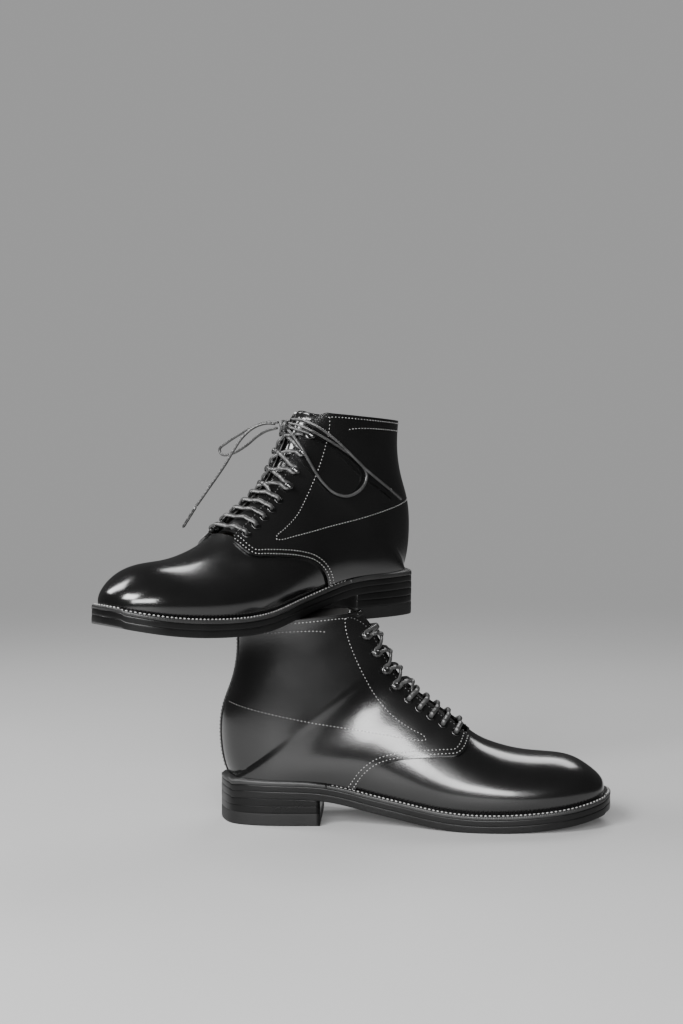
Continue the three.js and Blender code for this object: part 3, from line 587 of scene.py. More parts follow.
# mesh helpers
def stepAt(share, steps):
    return np.rint(share * steps).astype(int)


def newShape():
    bm = bmesh.new()
    bm.loops.layers.uv.new("UVMap")
    return bm


def addToScene(name, data):
    thing = bpy.data.objects.new(name, data)
    bpy.context.collection.objects.link(thing)
    return thing


def mappedGrid(stepsU, stepsV, place, uvScale=(1, 1), facing=None):
    bm = bmesh.new()
    uvLayer = bm.loops.layers.uv.new("UVMap")
    bmesh.ops.create_grid(bm, x_segments=stepsU, y_segments=stepsV, size=0.5)
    flat = np.array([v.co[:2] for v in bm.verts]) + 0.5
    points = place(flat[:, 0], flat[:, 1])
    bm.verts.ensure_lookup_table()
    for vert, point in zip(bm.verts, points):
        vert.co = point
    for face in bm.faces:
        face.smooth = True
        for loop in face.loops:
            u, v = flat[loop.vert.index]
            loop[uvLayer].uv = (u * uvScale[0], v * uvScale[1])
    if facing is not None:
        bm.normal_update()
        wanted = facing(flat[:, 0], flat[:, 1])
        if sum(v.normal.dot(Vector(w)) for v, w in zip(bm.verts, wanted)) < 0:
            bmesh.ops.reverse_faces(bm, faces=bm.faces)
    return bm


def closeUp(bm):
    bmesh.ops.remove_doubles(bm, verts=bm.verts, dist=0.003)
    rims = [e for e in bm.edges if e.is_boundary]
    if rims:
        bmesh.ops.holes_fill(bm, edges=rims, sides=0)
    bmesh.ops.recalc_face_normals(bm, faces=bm.faces)
    return bm


def leatherSheet(place, stepsU, stepsV, offset):
    def points(u, v):
        station, around = place(u, v)
        height = offset(u, v) if callable(offset) else np.full(u.shape, float(offset))
        return offSurface(station, around, height)

    bm = mappedGrid(stepsU, stepsV, points, facing=lambda u, v: outward(*place(u, v)))
    bmesh.ops.remove_doubles(bm, verts=bm.verts, dist=0.003)
    return bm


def tube(points, wide, thick, reference, sides=12, closed=False, pitch=4.0):
    points = np.asarray(points, float)
    count = len(points)
    if closed:
        looped = np.concatenate([points[-2:-1], points, points[1:2]])
        tangents = unit(np.gradient(looped, axis=0)[1:-1])
    else:
        tangents = unit(np.gradient(points, axis=0))
    reference = np.broadcast_to(np.asarray(reference, float), points.shape)
    axisA = unit(reference - (reference * tangents).sum(1, keepdims=True) * tangents)
    axisB = np.cross(tangents, axisA)
    wide = np.broadcast_to(wide, (count,))
    thick = np.broadcast_to(thick, (count,))
    length = np.linalg.norm(np.diff(points, axis=0), axis=1).sum()

    def place(u, v):
        i = stepAt(u, count - 1)
        angle = (2 * math.pi * v)[:, None]
        return (points[i] + axisA[i] * np.cos(angle) * wide[i][:, None]
                + axisB[i] * np.sin(angle) * thick[i][:, None])

    return closeUp(mappedGrid(count - 1, sides, place, (length / pitch, 1)))


def addCopy(target, source, matrix):
    first = len(target.verts)
    mesh = bpy.data.meshes.new("copy")
    source.to_mesh(mesh)
    target.from_mesh(mesh)
    bpy.data.meshes.remove(mesh)
    target.verts.ensure_lookup_table()
    bmesh.ops.transform(target, matrix=matrix, verts=target.verts[first:])


def joined(parts):
    whole = newShape()
    for part in parts:
        addCopy(whole, part, Matrix.Identity(4))
        part.free()
    return whole


boots = {
    "left": {"place": toMetres, "body": "left_boot"},
    "right": {"place": restingPlace, "body": "right_boot"},
}


def makeObject(name, bm, matrix, finish):
    copy = bm.copy()
    bmesh.ops.transform(copy, matrix=matrix, verts=copy.verts)
    if matrix.determinant() < 0:
        bmesh.ops.reverse_faces(copy, faces=copy.faces)
    for face in copy.faces:
        face.smooth = True
    mesh = bpy.data.meshes.new(name)
    copy.to_mesh(mesh)
    copy.free()
    mesh.materials.append(materials[finish])
    return addToScene(name, mesh)


def addModifiers(piece, thickness=0, bevel=0, weighted=False):
    if thickness:
        wall = piece.modifiers.new("thickness", "SOLIDIFY")
        wall.thickness = thickness / 1000
        wall.offset = -1
    if bevel:
        rim = piece.modifiers.new("rim", "BEVEL")
        rim.width = bevel / 1000
        rim.segments = 3
        rim.limit_method = "ANGLE"
        rim.angle_limit = math.radians(50)
        rim.harden_normals = True
    if weighted:
        even = piece.modifiers.new("flats", "WEIGHTED_NORMAL")
        even.keep_sharp = True


def forBothBoots(name, bm, finish, slotName, nodes=(), tongue=False, **modifiers):
    for suffix, boot in boots.items():
        piece = makeObject(f"{name}_{suffix}", bm, boot["place"], finish)
        addModifiers(piece, **modifiers)
        if tongue:
            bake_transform(piece)
        else:
            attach(piece, boot["body"])
        if nodes:
            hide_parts(*(f"{node}_{suffix}" for node in nodes))
    bm.free()


# the bow of the resting boot: free ends of its lace, as in the CAD
bow = {
    "bow_loop_outer": [
        (124.4, -9, 153.2), (125.8, -21, 152.6), (128.2, -34, 148.8), (130.8, -47, 142.9),
        (133.4, -60, 135.8), (135, -67.4, 130.2), (134.4, -65.2, 126.2), (132.4, -55, 127.2),
        (129.7, -41.4, 133.8), (127.4, -30.6, 141.4), (126.2, -21.6, 145.8), (125.8, -12.6, 148),
        (125.6, -9, 148.8),
    ],
    "bow_loop_inner": [
        (125.4, 5, 153), (121.6, 12.6, 151.4), (116.6, 21, 147.4), (107.6, 25, 142.4), (97, 27.6, 136.6),
        (88, 29, 131.6), (78.4, 30.6, 125), (70.9, 32.2, 117.7), (68.8, 32.8, 112.4), (71.6, 33.2, 105.6),
        (78.5, 33, 100), (88.9, 32, 97), (99.5, 29.8, 99.4), (107.9, 26.8, 106.8), (114.2, 24.6, 115),
        (120, 23.2, 124), (124.6, 21, 132.6), (127, 15, 140.6), (126.8, 8.6, 145.8), (126.2, 5, 147.6),
    ],
    "lace_end_outer": [
        (129, -6.8, 152.2), (134.4, -12.4, 152.2), (140.8, -18.8, 148.8), (147, -25, 141),
        (151.6, -29.6, 131.2), (155.8, -33.8, 121), (160, -38, 112), (164.1, -42.1, 103.6),
        (168, -46, 95.6), (171.6, -49.8, 88),
    ],
    "lace_end_inner": [
        (122.4, 5, 156), (119.4, 13, 155.4), (114.4, 23, 151.4), (106, 27.8, 145.4), (96.6, 31, 138),
        (85.2, 33.8, 128), (74.5, 36, 118.6), (62.8, 37.2, 110.4), (48.4, 36.8, 101.6),
    ],
}
tags = {
    "outer": {"from": (171.8, -50, 87.6), "to": (179.2, -57.2, 70.6)},
    "inner": {"from": (48, 36.8, 101.4), "to": (32.6, 34.4, 92.6)},
}
tagLook = {"radius": 1.25, "tip": 0.4, "shoulder": 0.92, "wound": 0.9, "windings": (4, 8, 12), "steps": 16}
lace = {
    "wide": 1.85, "thick": 0.95, "pitch": 3.2, "sides": 12, "strandShare": 0.85,
    "bowRadius": 1.2, "bowWide": 1.12, "bowThick": 0.88, "loopSteps": 96, "endSteps": 72,
}


def makeBow():
    for name, ends in tags.items():
        line = evenly(np.array([ends["from"], ends["to"]], float), tagLook["steps"])
        sizes = np.full(tagLook["steps"] + 1, tagLook["radius"])
        sizes[[0, -1]] = tagLook["tip"]
        sizes[[1, -2]] = tagLook["radius"] * tagLook["shoulder"]
        for i in tagLook["windings"]:
            sizes[i] *= tagLook["wound"]  # where the film is wound tight
        bm = tube(line, sizes, sizes, (0, 0, 1), 14, pitch=2)
        tag = makeObject(f"laceTag_{name}", bm, restingPlain, "laceTag")
        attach(tag, "right_boot")
        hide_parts(f"aglet_{name}")
        bm.free()
    for name, route in bow.items():
        count = lace["loopSteps"] if "loop" in name else lace["endSteps"]
        line = smoothPath(route, count)
        sizes = np.full(count + 1, lace["bowRadius"])
        bm = tube(line, sizes * lace["bowWide"], sizes * lace["bowThick"], (1, 0.3, 0.4), lace["sides"],
                  pitch=lace["pitch"])
        cord = makeObject(name.replace("_", "") + "_cord", bm, restingPlain, "waxedLace")
        bm.free()
        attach(cord, "right_boot")
        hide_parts(name)


makeBow()
print("bow made")

# leather upper
upperLook = {
    "vampDip": 0.5, "easing": 16, "liningShare": 0.9, "rim": 0.3, "quarterRim": 0.4,
    "backHalf": 5.5, "backFirst": heelBack + 0.35,
}
tongueLook = {
    "widths": [17, 18, 19, 20, 21, 21, 21, 22], "foot": 0.35, "cornerCut": 0.4, "cornerFrom": 0.84,
    "cornerShare": 0.16, "curl": 3.6, "curlFrom": 0.66, "curlShare": 0.34, "ripple": 0.35, "ripples": 38,
    "rim": 0.6, "blend": (-22, 0, 30),
}
sewingTrees = {}  # the quarters' surfaces, which the stitches lie on


def eased(bm, times):
    # smooths out the dents, but never sinks below the shape it starts from
    bm.normal_update()
    inner = [v for v in bm.verts if not v.is_boundary]
    started = [(v.co.copy(), v.normal.copy()) for v in inner]
    for _ in range(times):
        bmesh.ops.smooth_vert(bm, verts=inner, factor=0.5, use_axis_x=True, use_axis_y=True,
                              use_axis_z=True)
    for vert, (place, normal) in zip(inner, started):
        sunk = (vert.co - place).dot(normal)
        if sunk < 0:
            vert.co -= normal * sunk


def vampOffset(u, v):
    # the vamp's rear edge goes under the quarters
    return -upperLook["vampDip"] * np.clip(u * 5 - 4, 0, 1)


def makeUpper():
    vamp = leatherSheet(vampPlace, 84, 120, vampOffset)
    forBothBoots("vampLeather", vamp, "polishedLeather", "upper_leather", ["vamp"],
                 thickness=layers["leather"], bevel=upperLook["rim"])
    for side, label in ((1, "outer"), (-1, "inner")):
        spread = quarterPlace(side)
        quarter = leatherSheet(spread, 70, 90, layers["quarter"])
        eased(quarter, upperLook["easing"])
        sewingTrees[side] = BVHTree.FromBMesh(quarter)
        forBothBoots(f"quarterLeather_{label}", quarter, "polishedLeather", "upper_leather",
                     [f"quarter_{label}"], thickness=layers["leather"], bevel=upperLook["quarterRim"])
        inside = leatherSheet(lambda u, v: spread(u * upperLook["liningShare"], v), 40, 50, layers["lining"])
        forBothBoots(f"shaftLining_{label}", inside, "liningLeather", "lining_leather",
                     [f"quarter_lining_{label}"], thickness=layers["liningThick"], bevel=upperLook["rim"])

    def backPlace(u, v):
        station = upperLook["backFirst"] + (collar - upperLook["backFirst"]) * u
        across = 2 * v - 1
        around = roundAtArc(station, upperLook["backHalf"] * np.abs(across), fromBack=True)
        return station, np.where(across < 0, around, 2 - around)

    back = leatherSheet(backPlace, 60, 10, layers["backstay"])
    forBothBoots("backStrip", back, "polishedLeather", "upper_leather", ["backstay"],
                 thickness=layers["backstayThick"], bevel=upperLook["rim"])


def makeTongue():
    look = tongueLook
    width = smoothThrough(look["widths"])

    def spread(u, v):
        station = throat + look["foot"] + (collar - throat - look["foot"]) * u
        across = 2 * v - 1
        # the top corners are rounded off
        corner = 1 - look["cornerCut"] * np.clip((u - look["cornerFrom"]) / look["cornerShare"], 0, 1) ** 2
        return station, np.sign(across) * roundAtArc(station, width(u * 7) * np.abs(across) * corner)

    def height(u, v):
        rising = np.clip((u - look["curlFrom"]) / look["curlShare"], 0, 1)
        curl = look["curl"] * rising * rising * (3 - 2 * rising) * (1 - np.abs(2 * v - 1) ** 2)
        ripple = look["ripple"] * np.sin(u * look["ripples"]) * (1 - np.abs(2 * v - 1))
        return layers["tongue"] + curl + ripple

    tongue = leatherSheet(spread, 70, 30, height)
    forBothBoots("tongueLeather", tongue, "tongueLeather", "tongue_leather", ["tongue"], tongue=True,
                 thickness=layers["tongueThick"], bevel=look["rim"])


makeUpper()
makeTongue()
print("upper made")


# soles, welt and heel
soleLook = {
    "corner": 0.22, "heelCorner": 0.16, "weltMarks": 1.75, "markDepth": 0.28, "seatBead": 1.4, "beadRise": 14,
    "midsoleInset": 0.15, "liftInset": 0.1, "weltInset": -7, "randInset": -6, "weltStart": 5,
    "randStart": 4.8,
}


def plate(stations, beyond, top, bottom, corner):
    # once round the section: over the top, down one side, back below, up the other side
    loop = [(w, 0.0) for w in np.linspace(0, 1, 7)[:-1]]
    fall = 0.5 - 0.5 * np.cos(np.linspace(0, math.pi, 11))
    loop += [(1.0, t) for t in fall[:-1]] + [(w, 1.0) for w in np.linspace(1, 0, 7)[:-1]]
    loop += [(0.0, t) for t in fall[::-1]]
    loop = np.array(loop)
    stations = np.asarray(stations, float)

    def place(u, v):
        station = stations[stepAt(u, len(stations) - 1)]
        w, t = loop[stepAt(v, len(loop) - 1)].T
        reach = beyond(station) - corner * np.abs(2 * t - 1) ** 6
        left = soleEdge(station, np.ones(len(station)), reach)
        right = soleEdge(station, -np.ones(len(station)), reach)
        flat = right * (1 - w)[:, None] + left * w[:, None]
        z = top(flat[:, 0]) * (1 - t) + bottom(flat[:, 0]) * t
        return np.column_stack([flat, z])

    return closeUp(mappedGrid(len(stations) - 1, len(loop) - 1, place))


def bunched(first, last, count):
    return first + (last - first) * (0.5 - 0.5 * np.cos(np.linspace(0, math.pi, count + 1)))


def rim(firstStation, ending, count):
    # stations and sides along the outline, evenly spaced, round the toe or the heel
    ends = np.linspace(-abs(firstStation - ending), abs(firstStation - ending), 3001)
    station = np.abs(ends) if ending == 0 else ending - np.abs(ends)
    side = np.where(ends < 0, -1.0, 1.0)
    lengths = arcLengths(soleEdge(station, side, margin(station)))
    at = np.interp(np.linspace(0, lengths[-1], count + 1), lengths, ends)
    return (np.abs(at) if ending == 0 else ending - np.abs(at)), np.where(at < 0, -1.0, 1.0), lengths[-1]


def strip(firstStation, ending, inset, top, bottom, steps, marks=0, bead=0):
    station, side, length = rim(firstStation, ending, steps)
    fromEnd = np.minimum(np.arange(steps + 1), steps - np.arange(steps + 1)) * length / steps
    raised = bead * np.clip(fromEnd / soleLook["beadRise"], 0, 1) ** 2
    # how far out and how far down each point of the strip's section is
    across = np.array([(0.0, 0.0), (0.35, 0.0), (0.7, 0.0), (0.84, 0.0), (0.93, 0.02), (0.98, 0.1),
                       (1.0, 0.26), (1.0, 0.74), (0.98, 0.92), (0.93, 0.99), (0.8, 1.0), (0.0, 1.0),
                       (0.0, 0.0)])

    def place(u, v):
        i = stepAt(u, steps)
        w, t = across[stepAt(v, len(across) - 1)].T
        reach = inset + (margin(station[i]) - inset) * w
        flat = soleEdge(station[i], side[i], reach)
        z = top(flat[:, 0]) * (1 - t) + bottom(flat[:, 0]) * t
        wheel = 0.5 + 0.5 * np.cos(2 * math.pi * u * length / soleLook["weltMarks"])
        onTop = (w > 0.8) & (t < 0.3)
        ridge = raised[i] * np.interp(w, (0.3, 0.5, 0.7, 1), (0, 1, 0.9, 0.1)) * (t < 0.2)
        return np.column_stack([flat, z - marks * wheel * onTop + ridge])

    return closeUp(mappedGrid(steps, len(across) - 1, place))


def level(height):
    # a flat face, as a function of x like the curved ones
    return lambda x: 0 * x + height


def weltBottom(x):
    return soleLine(x) - layers["welt"]


def makeSoles():
    whole = bunched(0, heelBack, 110)
    breast = stationAt(layers["breastX"])
    heel = breast + (heelBack - breast) * np.sin(np.linspace(0, math.pi / 2, 50))
    gap, meet, topLift = layers["gap"], layers["liftsMeet"], layers["topLift"]
    corner, heelCorner = soleLook["corner"], soleLook["heelCorner"]
    plates = (
        ("outsoleLeather", "outsole", "soleLeather", "sole_leather", whole, 0,
         outsoleTop, outsoleBottom, corner),
        ("midsoleLeather", "midsole", "soleLeather", "sole_leather", whole, soleLook["midsoleInset"],
         midsoleTop, lambda x: midsoleTop(x) - layers["midsole"], corner),
        ("heelLiftUpper", "heel_lift_upper", "heelLeather", "heel_leather", heel, 0,
         lambda x: outsoleBottom(x) - gap, level(meet + gap), heelCorner),
        ("heelLiftLower", "heel_lift_lower", "heelLeather", "heel_leather", heel, soleLook["liftInset"],
         level(meet), level(topLift + gap), heelCorner),
        ("heelTopLift", "heel_top_lift", "heelRubber", "top_lift_rubber", heel, 0,
         level(topLift), level(0), heelCorner),
    )
    for name, node, finish, slotName, stations, inset, top, bottom, edge in plates:
        shape = plate(stations, lambda s: margin(s) - inset, top, bottom, edge)
        forBothBoots(name, shape, finish, slotName, [node], weighted=True)
    welt = strip(stationAt(layers["breastX"] + soleLook["weltStart"]), 0, soleLook["weltInset"], weltTop,
                 weltBottom, 1500, soleLook["markDepth"])
    forBothBoots("weltStrip", welt, "weltLeather", "welt_leather", ["welt"])
    rand = strip(stationAt(layers["breastX"] + soleLook["randStart"]), heelBack, soleLook["randInset"],
                 weltTop, weltBottom, 160, bead=soleLook["seatBead"])
    forBothBoots("heelRand", rand, "weltLeather", "welt_leather", ["heel_rand"])


makeSoles()
print("soles made")


# stitching
stitch = {"pitch": 2.8, "length": 1.2, "radius": 0.36, "lift": 0.15, "probe": 0.4}
weltStitch = {
    "pitch": 3.3, "length": 2.0, "radius": 0.55, "lift": 0.25, "probe": 0.4, "inset": 1.7, "start": 8,
}
sewing = {
    "seam": (2.0, 5.4), "facing": 1.9, "collar": -2.4, "lower": -8.2, "lowerStart": 38.0, "back": 4.2,
    "backEnd": 0.995,
}


def sewRow(bm, points, normals, look):
    lengths = arcLengths(points)
    number = max(1, int(lengths[-1] / look["pitch"]))
    at = (np.arange(number) + 0.5) * lengths[-1] / number
    spots = pointsAt(at, lengths, points)
    ups = unit(pointsAt(at, lengths, normals))
    ahead = unit(pointsAt(at + look["probe"], lengths, points) - pointsAt(at - look["probe"], lengths, points))
    for spot, up, along in zip(spots, ups, ahead):
        acrossWay = np.cross(up, along)
        columns = (acrossWay * look["radius"], up * look["radius"], along * look["length"] / 2,
                   spot + up * look["lift"])
        matrix = Matrix((*zip(*(tuple(c) for c in columns)), (0, 0, 0, 1)))
        bmesh.ops.create_uvsphere(bm, u_segments=6, v_segments=5, radius=1, matrix=matrix)


def sewOnUpper(bm, curve, side, offset):
    station, around = (np.asarray(c, float) for c in curve)
    points = offSurface(station, side * around, np.full(station.shape, float(offset)))
    normals = outward(station, side * around)
    if offset == layers["quarter"]:
        points = np.array([sewingTrees[side].find_nearest(Vector(p))[0] for p in points])
    sewRow(bm, points, normals, stitch)


def makeStitching():
    threads = newShape()
    back = newShape()
    stations = np.linspace(collar, quarterSeam[0][0] + 0.15, 160)
    facing = (stations, facingEdge(stations))
    top = np.array([float(collar)])
    collarLine = (np.full(160, top[0]), np.linspace(facingEdge(top)[0], sewing["backEnd"], 160))
    lowerFrom = roundAtArc(top, np.array([sewing["lowerStart"]]))[0]
    lowerLine = (np.full(120, top[0]), np.linspace(lowerFrom, sewing["backEnd"], 120))
    backStations = np.linspace(heelBack + 0.6, collar - 0.1, 120)
    backRounds = roundAtArc(backStations, np.full(120, sewing["back"]), fromBack=True)
    for side in (1, -1):
        for inset in sewing["seam"]:
            sewOnUpper(threads, shifted(quarterSeam, inset), side, layers["quarter"])
        sewOnUpper(threads, liningSeam, side, layers["quarter"])
        sewOnUpper(back, shifted(facing, sewing["facing"]), side, layers["quarter"])
        sewOnUpper(threads, shifted(collarLine, sewing["collar"]), side, layers["quarter"])
        sewOnUpper(threads, shifted(lowerLine, sewing["lower"]), side, layers["quarter"])
    for around in (backRounds, 2 - backRounds):
        sewOnUpper(back, (backStations, around), 1, layers["backstay"])
    forBothBoots("upperStitching", threads, "thread", "lace_cord")
    forBothBoots("backStripStitching", back, "darkThread", "lace_cord")
    welt = newShape()
    station, side, _ = rim(stationAt(layers["breastX"] + weltStitch["start"]), 0, 1200)
    flat = soleEdge(station, side, margin(station) - weltStitch["inset"])
    points = np.column_stack([flat, weltTop(flat[:, 0])])
    sewRow(welt, points, np.tile((0.0, 0, 1), (len(points), 1)), weltStitch)
    forBothBoots("weltStitching", welt, "thread", "lace_cord")


makeStitching()
print("stitching made")


# eyelets, hooks and laces
metal = {"ring": 3.6, "bore": 1.9, "rise": 0.85, "barrel": 3.0, "wall": 0.3, "slack": 0.15, "stand": 0.4}
hookLook = {
    "stem": [(-0.6, 0, -0.6), (-1.3, 0, 0.9), (-1.5, 0, 2.4), (-0.4, 0, 3.9), (1.6, 0, 4.5), (3.4, 0, 4.2),
             (4.4, 0, 3.5)],
    "share": [0, 0.25, 0.5, 0.8, 0.94, 1], "wide": [2.4, 1.5, 1.7, 2.7, 2.0, 0.3],
    "thick": [1.0, 0.75, 0.8, 1.15, 0.9, 0.2], "base": 1.7, "baseHalf": 1.6, "baseRise": 0.42, "baseUp": 0.35,
}
lastHole = len(holeStations) - 1


def rowStation(i, part=0):
    # the station of row i, or part of the way on to the row above
    here = holeStations[i]
    return np.array([here + (holeStations[i + 1] - here) * part if part else here])


def lifted(station, around, lift):
    return surface(station, around)[0] + outward(station, around)[0] * lift


def holePlace(i, side, lift=0.0):
    station = rowStation(i)
    around = side * roundAtArc(station, np.array([holeArcs[i]]))
    normal = outward(station, around)[0]
    away = unit(slopes(station, around)[1][0] * side)
    point = surface(station, around)[0] + normal * lift
    return point, away, np.cross(normal, away), normal


def frameAt(point, away, along, normal):
    return Matrix(((away[0], along[0], normal[0], point[0]), (away[1], along[1], normal[1], point[1]),
                   (away[2], along[2], normal[2], point[2]), (0, 0, 0, 1)))


def ringShape(radius, up, half, rise):
    turn = np.linspace(0, 2 * math.pi, 33)
    circle = np.column_stack([radius * np.cos(turn), radius * np.sin(turn), np.full(33, up)])
    return tube(circle, np.full(33, rise), np.full(33, half), (0, 0, 1), 10, closed=True)


def eyeletShape():
    middle = (metal["ring"] + metal["bore"]) / 2
    half = (metal["ring"] - metal["bore"]) / 2
    ring = ringShape(middle, 0, half, metal["rise"] / 2)
    bmesh.ops.translate(ring, verts=ring.verts, vec=(0, 0, metal["rise"] / 2))
    wall = newShape()
    reach = metal["bore"] + metal["slack"]
    bmesh.ops.create_cone(wall, cap_ends=False, segments=24, radius1=reach, radius2=reach,
                          depth=metal["barrel"],
                          matrix=Matrix.Translation((0, 0, metal["stand"] - metal["barrel"] / 2)))
    bmesh.ops.solidify(wall, geom=wall.faces[:], thickness=metal["wall"])
    return joined([ring, wall])


def hookShape():
    stem = smoothPath(hookLook["stem"], 22)
    share = np.linspace(0, 1, 23)
    wide, thick = (np.interp(share, hookLook["share"], hookLook[key]) for key in ("wide", "thick"))
    arm = tube(stem, wide, thick, (0, 1, 0), 14)
    base = ringShape(hookLook["base"], hookLook["baseUp"], hookLook["baseHalf"], hookLook["baseRise"])
    return joined([base, arm])


def makeHardware():
    eyelet = eyeletShape()
    hook = hookShape()
    for side, label in ((1, "outer"), (-1, "inner")):
        rings = newShape()
        hooks = newShape()
        for i in range(lastHole + 1):
            where = frameAt(*holePlace(i, side, layers["quarter"] + 0.05))
            if where.determinant() < 0:
                where = where @ Matrix.Diagonal((1, -1, 1, 1))
            target, shape = (rings, eyelet) if i < eyeletCount else (hooks, hook)
            addCopy(target, shape, where)
        forBothBoots(f"eyelets_{label}", rings, "eyeletMetal", "eyelet_metal", [f"eyelet_row_{label}"])
        forBothBoots(f"speedHooks_{label}", hooks, "hookEnamel", "eyelet_metal")


# places along the laces: the share of the way and the lift off the upper, from the eyelet upward and
# inward, and round a hook outward and upward
laceRoute = {
    "bar": ((-0.72, 3.2), (-0.5, 3.0), (-0.25, 0.9), (0, -0.4), (0.25, 0.9), (0.5, 3.0), (0.72, 3.2)),
    "crossing": ((0.14, 3.2), (0.25, 3.0), (0.37, 1.4), (0.5, None), (0.63, 1.4), (0.75, 3.0), (0.86, 3.2)),
    "ends": ((0.2, 0), (2.4, 0.2), (4.2, 1.6)), "start": (5, 1.2),
    "hook": ((-2.6, -2.3), (0.3, -2.3), (1.7, 0), (0.3, 2.3), (-2.6, 2.3)),
    "hookLift": 1.5, "strands": ((1, 0.5), (-1, 2.4)), "wraps": ((0.3, 1.0), (2.2, 0.6)),
}
knot = {
    "middle": np.array([124.0, 0, 151.2]), "thick": 1.3, "thin": 1.1, "hookLift": 4.4,
    "rings": ((0.25, 0.4, (3.5, 3.3)), (-0.3, -0.2, (3.2, 3.1))), "wave": 2.2, "waveStart": 1.2,
    "beside": (-1, 5, -1.8), "over": (-0.4, 0, 0.4), "strand": 0.9,
}


def laceTube(line, wide, thick, reference, closed=False):
    return tube(line, wide, thick, reference, lace["sides"], closed=closed, pitch=lace["pitch"])


def strandTube(line, reference, closed=False):
    return laceTube(line, lace["thick"], lace["wide"] * lace["strandShare"], reference, closed)


def ridgeNormal(i):
    return outward(rowStation(i), np.array([0.0]))[0]


def alongThroat(i):
    return unit(surface(rowStation(i) + 0.05, 0.0) - surface(rowStation(i) - 0.05, 0.0))[0]


def eyeletBar(i):
    ends = []
    for side in (-1, 1):
        point, away, _, normal = holePlace(i, side)
        ends.append([point + normal * up - away * inward for up, inward in laceRoute["ends"]])
    middle = []
    for part, lift in laceRoute["bar"]:
        around = roundAtArc(rowStation(i), np.array([abs(part) * (holeArcs[i] - 1)])) * np.sign(part)
        middle.append(lifted(rowStation(i), around, lift))
    line = smoothPath(ends[0] + middle + ends[1][::-1], 48)
    return laceTube(line, lace["wide"], lace["thick"], alongThroat(i))


def overThroat(i, side, middleLift):
    # from one side of row i over the throat to the other side of the row above
    points = []
    for part, lift in laceRoute["crossing"]:
        arc = side * (holeArcs[i] * (1 - part) - holeArcs[i + 1] * part)
        around = np.sign(arc) * roundAtArc(rowStation(i, part), np.array([abs(arc)]))
        points.append(lifted(rowStation(i, part), around, middleLift if lift is None else lift))
    return points


def roundHook(i, side):
    # round the outer side of the hook's stem, from below it to above it
    point, away, _, _ = holePlace(i, side, layers["quarter"] + laceRoute["hookLift"])
    upward = unit(surface(rowStation(i), 0.0) - surface(rowStation(i - 1), 0.0))[0]
    return [point + away * out + upward * rise for out, rise in laceRoute["hook"]]


def hookStrand(side, middleLift):
    # out from under the top eyelet, then from hook to hook up the throat
    first = eyeletCount - 1
    point, away, _, normal = holePlace(first, side)
    inward, down = laceRoute["start"]
    points = [point - away * inward - normal * down]
    for i in range(first, lastHole):
        crossing = overThroat(i, side, middleLift)
        points += crossing[2:] if i == first else crossing
        side = -side
        if i + 1 < lastHole:
            points += roundHook(i + 1, side)
    return strandTube(smoothPath(points, 240), ridgeNormal(first + 2))


def tuckedWrap():
    # the standing boot's lace goes twice round the last hooks, with its ends tucked in
    parts = []
    for lift, spread in laceRoute["wraps"]:
        points = []
        for side in (-1, 1):
            points += roundHook(lastHole, side)[::-side]
            way = alongThroat(lastHole) * spread * -side
            points.append(lifted(rowStation(lastHole), np.array([0.0]), lift) + way)
        parts.append(strandTube(smoothPath(points + points[:1], 96), ridgeNormal(lastHole), closed=True))
    return joined(parts)


def knotShape():
    # the last tie: a band wound round the crossing laces
    middle = knot["middle"]
    parts = []
    for turn, lift, size in knot["rings"]:
        angle = np.linspace(0, 2 * math.pi, 29)
        wave = knot["wave"] * np.sin(angle + knot["waveStart"]) * turn * 2 + lift * 3
        ring = np.column_stack([size[0] * np.cos(angle), wave, size[1] * np.sin(angle)])
        parts.append(laceTube(ring + middle, knot["thick"], knot["thin"], (0, 1, 0), closed=True))
    left, right = (holePlace(lastHole, side, knot["hookLift"]) for side in (1, -1))
    beside = np.array(knot["beside"])
    across = [
        left[0] + left[1] * 1.6, left[0] - left[1] * 2.4 + left[3] * 0.6, middle + beside,
        middle + np.array(knot["over"]), middle + beside * (1, -1, 1),
        right[0] - right[1] * 2.4 + right[3] * 0.6, right[0] + right[1] * 1.6,
    ]
    band = laceTube(smoothPath(across, 60), knot["thick"] * knot["strand"], knot["thick"], (0.6, 0, 0.8))
    parts.append(band)
    return joined(parts)


def makeLaces():
    bars = [eyeletBar(i) for i in range(eyeletCount)]
    bars += [hookStrand(side, lift) for side, lift in laceRoute["strands"]]
    forBothBoots("laceBars", joined(bars), "waxedLace", "lace_cord", ["lace"])
    for suffix, shape in (("left", tuckedWrap()), ("right", knotShape())):
        piece = makeObject(f"laceKnot_{suffix}", shape, boots[suffix]["place"], "waxedLace")
        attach(piece, boots[suffix]["body"])
        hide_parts(f"lace_knot_{suffix}")
        shape.free()


makeHardware()
makeLaces()
print("laces made")


# inner pieces that keep their own shape
innerFinishes = {
    "insole": "plainLeather", "cork_filler": "cork", "shank": "shankSteel", "sock_liner": "liningLeather",
    "vamp_lining": "liningCloth", "toe_puff": "stiffBoard", "heel_counter": "stiffBoard",
}
for node, finish in innerFinishes.items():
    for suffix in boots:
        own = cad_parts[f"{node}_{suffix}"]
        for number in range(max(1, len(own.material_slots))):
            if own.material_slots:
                own.material_slots[number].material = materials[finish]
            else:
                own.data.materials.append(materials[finish])


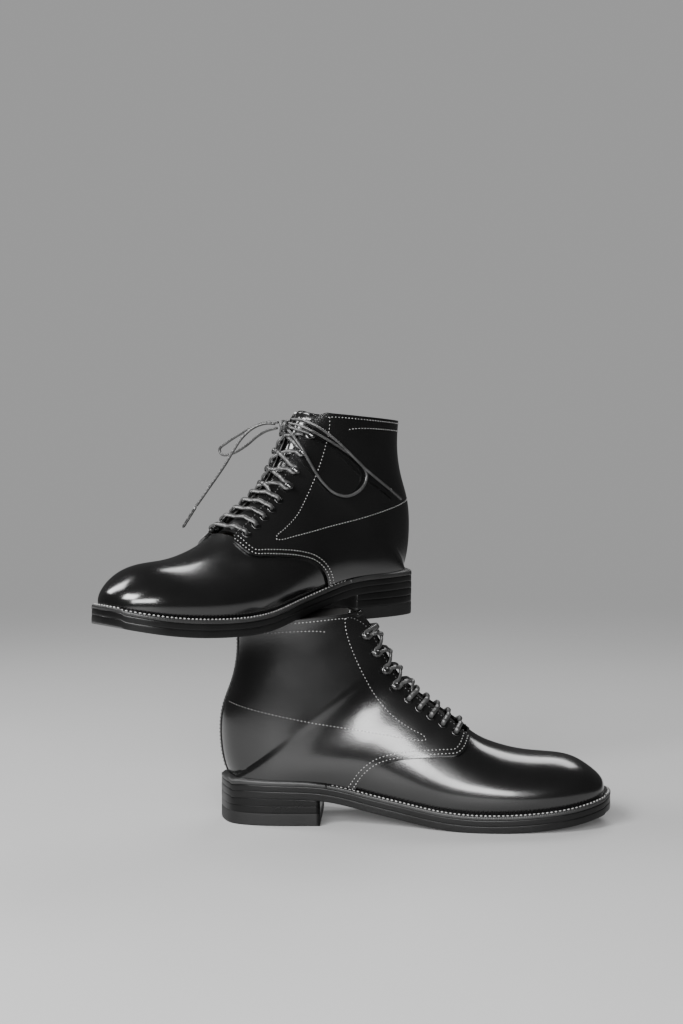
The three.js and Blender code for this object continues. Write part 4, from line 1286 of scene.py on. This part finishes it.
# floor and light
studio = {
    "floorColour": 0.4, "mottle": 0.06, "floorRough": 0.55, "floorGlow": 0.2, "floorFade": 0.42,
    "floorEnd": 1.5,
    "world": 0.06, "wall": 0.36,
    "key": {"place": (-0.75, -1.0, 1.15), "aim": (0, 0, 0.16), "size": (0.7, 0.5), "power": 34},
    "fill": {"place": (-0.15, -1.8, 0.8), "aim": (0, 0, 0.12), "size": (1.3, 0.5), "power": 44},
    "back": {"place": (0.5, 1.2, 1.5), "aim": (0, 0, 0.2), "size": (1.2, 0.6), "power": 16},
    "side": {"place": (-1.15, 0.35, 1.15), "aim": (0, 0, 0.25), "size": (0.45, 0.8), "power": 16},
}


def makeFloor():
    bm = bmesh.new()
    bmesh.ops.create_grid(bm, x_segments=1, y_segments=1, size=studio["floorEnd"])
    mesh = bpy.data.meshes.new("floor")
    bm.to_mesh(mesh)
    bm.free()
    floor = addToScene("floor", mesh)
    material = bpy.data.materials.new("floorPaint")
    material.use_nodes = True
    tree = material.node_tree
    shader = tree.nodes["Principled BSDF"]
    where = addNode(tree, "ShaderNodeTexCoord").outputs["Object"]
    clouds = addNode(tree, "ShaderNodeTexNoise", values={"Scale": 3, "Detail": 5}, links={"Vector": where})
    tones = {"To Min": studio["floorColour"] * (1 - studio["mottle"]),
             "To Max": studio["floorColour"] * (1 + studio["mottle"])}
    ramp = addNode(tree, "ShaderNodeMapRange", values=tones, links={"Value": clouds.outputs["Fac"]})
    tree.links.new(ramp.outputs[0], shader.inputs["Base Color"])
    shader.inputs["Roughness"].default_value = studio["floorRough"]
    tree.links.new(ramp.outputs[0], shader.inputs["Emission Color"])
    shader.inputs["Emission Strength"].default_value = studio["floorGlow"]
    reach = addNode(tree, "ShaderNodeVectorMath", {"operation": "LENGTH"}, links={0: where})
    fade = addNode(tree, "ShaderNodeMapRange", {"interpolation_type": "SMOOTHSTEP"},
                   {"From Min": studio["floorFade"], "From Max": studio["floorEnd"], "To Min": 1,
                    "To Max": 0},
                   {"Value": reach.outputs["Value"]})
    tree.links.new(fade.outputs[0], shader.inputs["Alpha"])
    mesh.materials.append(material)


def addLight(name, values):
    data = bpy.data.lights.new(name, "AREA")
    data.shape = "RECTANGLE"
    data.size, data.size_y = values["size"]
    data.energy = values["power"]
    light = addToScene(name, data)
    light.location = values["place"]
    aim = Vector(values["aim"]) - Vector(values["place"])
    light.rotation_euler = aim.to_track_quat("-Z", "Y").to_euler()


def makeWorld():
    world = bpy.data.worlds.new("studio")
    world.use_nodes = True
    tree = world.node_tree
    background = tree.nodes["Background"]
    seen = addNode(tree, "ShaderNodeLightPath").outputs["Is Camera Ray"]
    tone = addNode(tree, "ShaderNodeMapRange", values={"To Min": studio["world"], "To Max": studio["wall"]},
                   links={"Value": seen})
    tree.links.new(tone.outputs[0], background.inputs["Color"])
    bpy.context.scene.world = world


makeFloor()
for lightName in ("key", "fill", "back", "side"):
    addLight(lightName, studio[lightName])
makeWorld()
print("studio made")
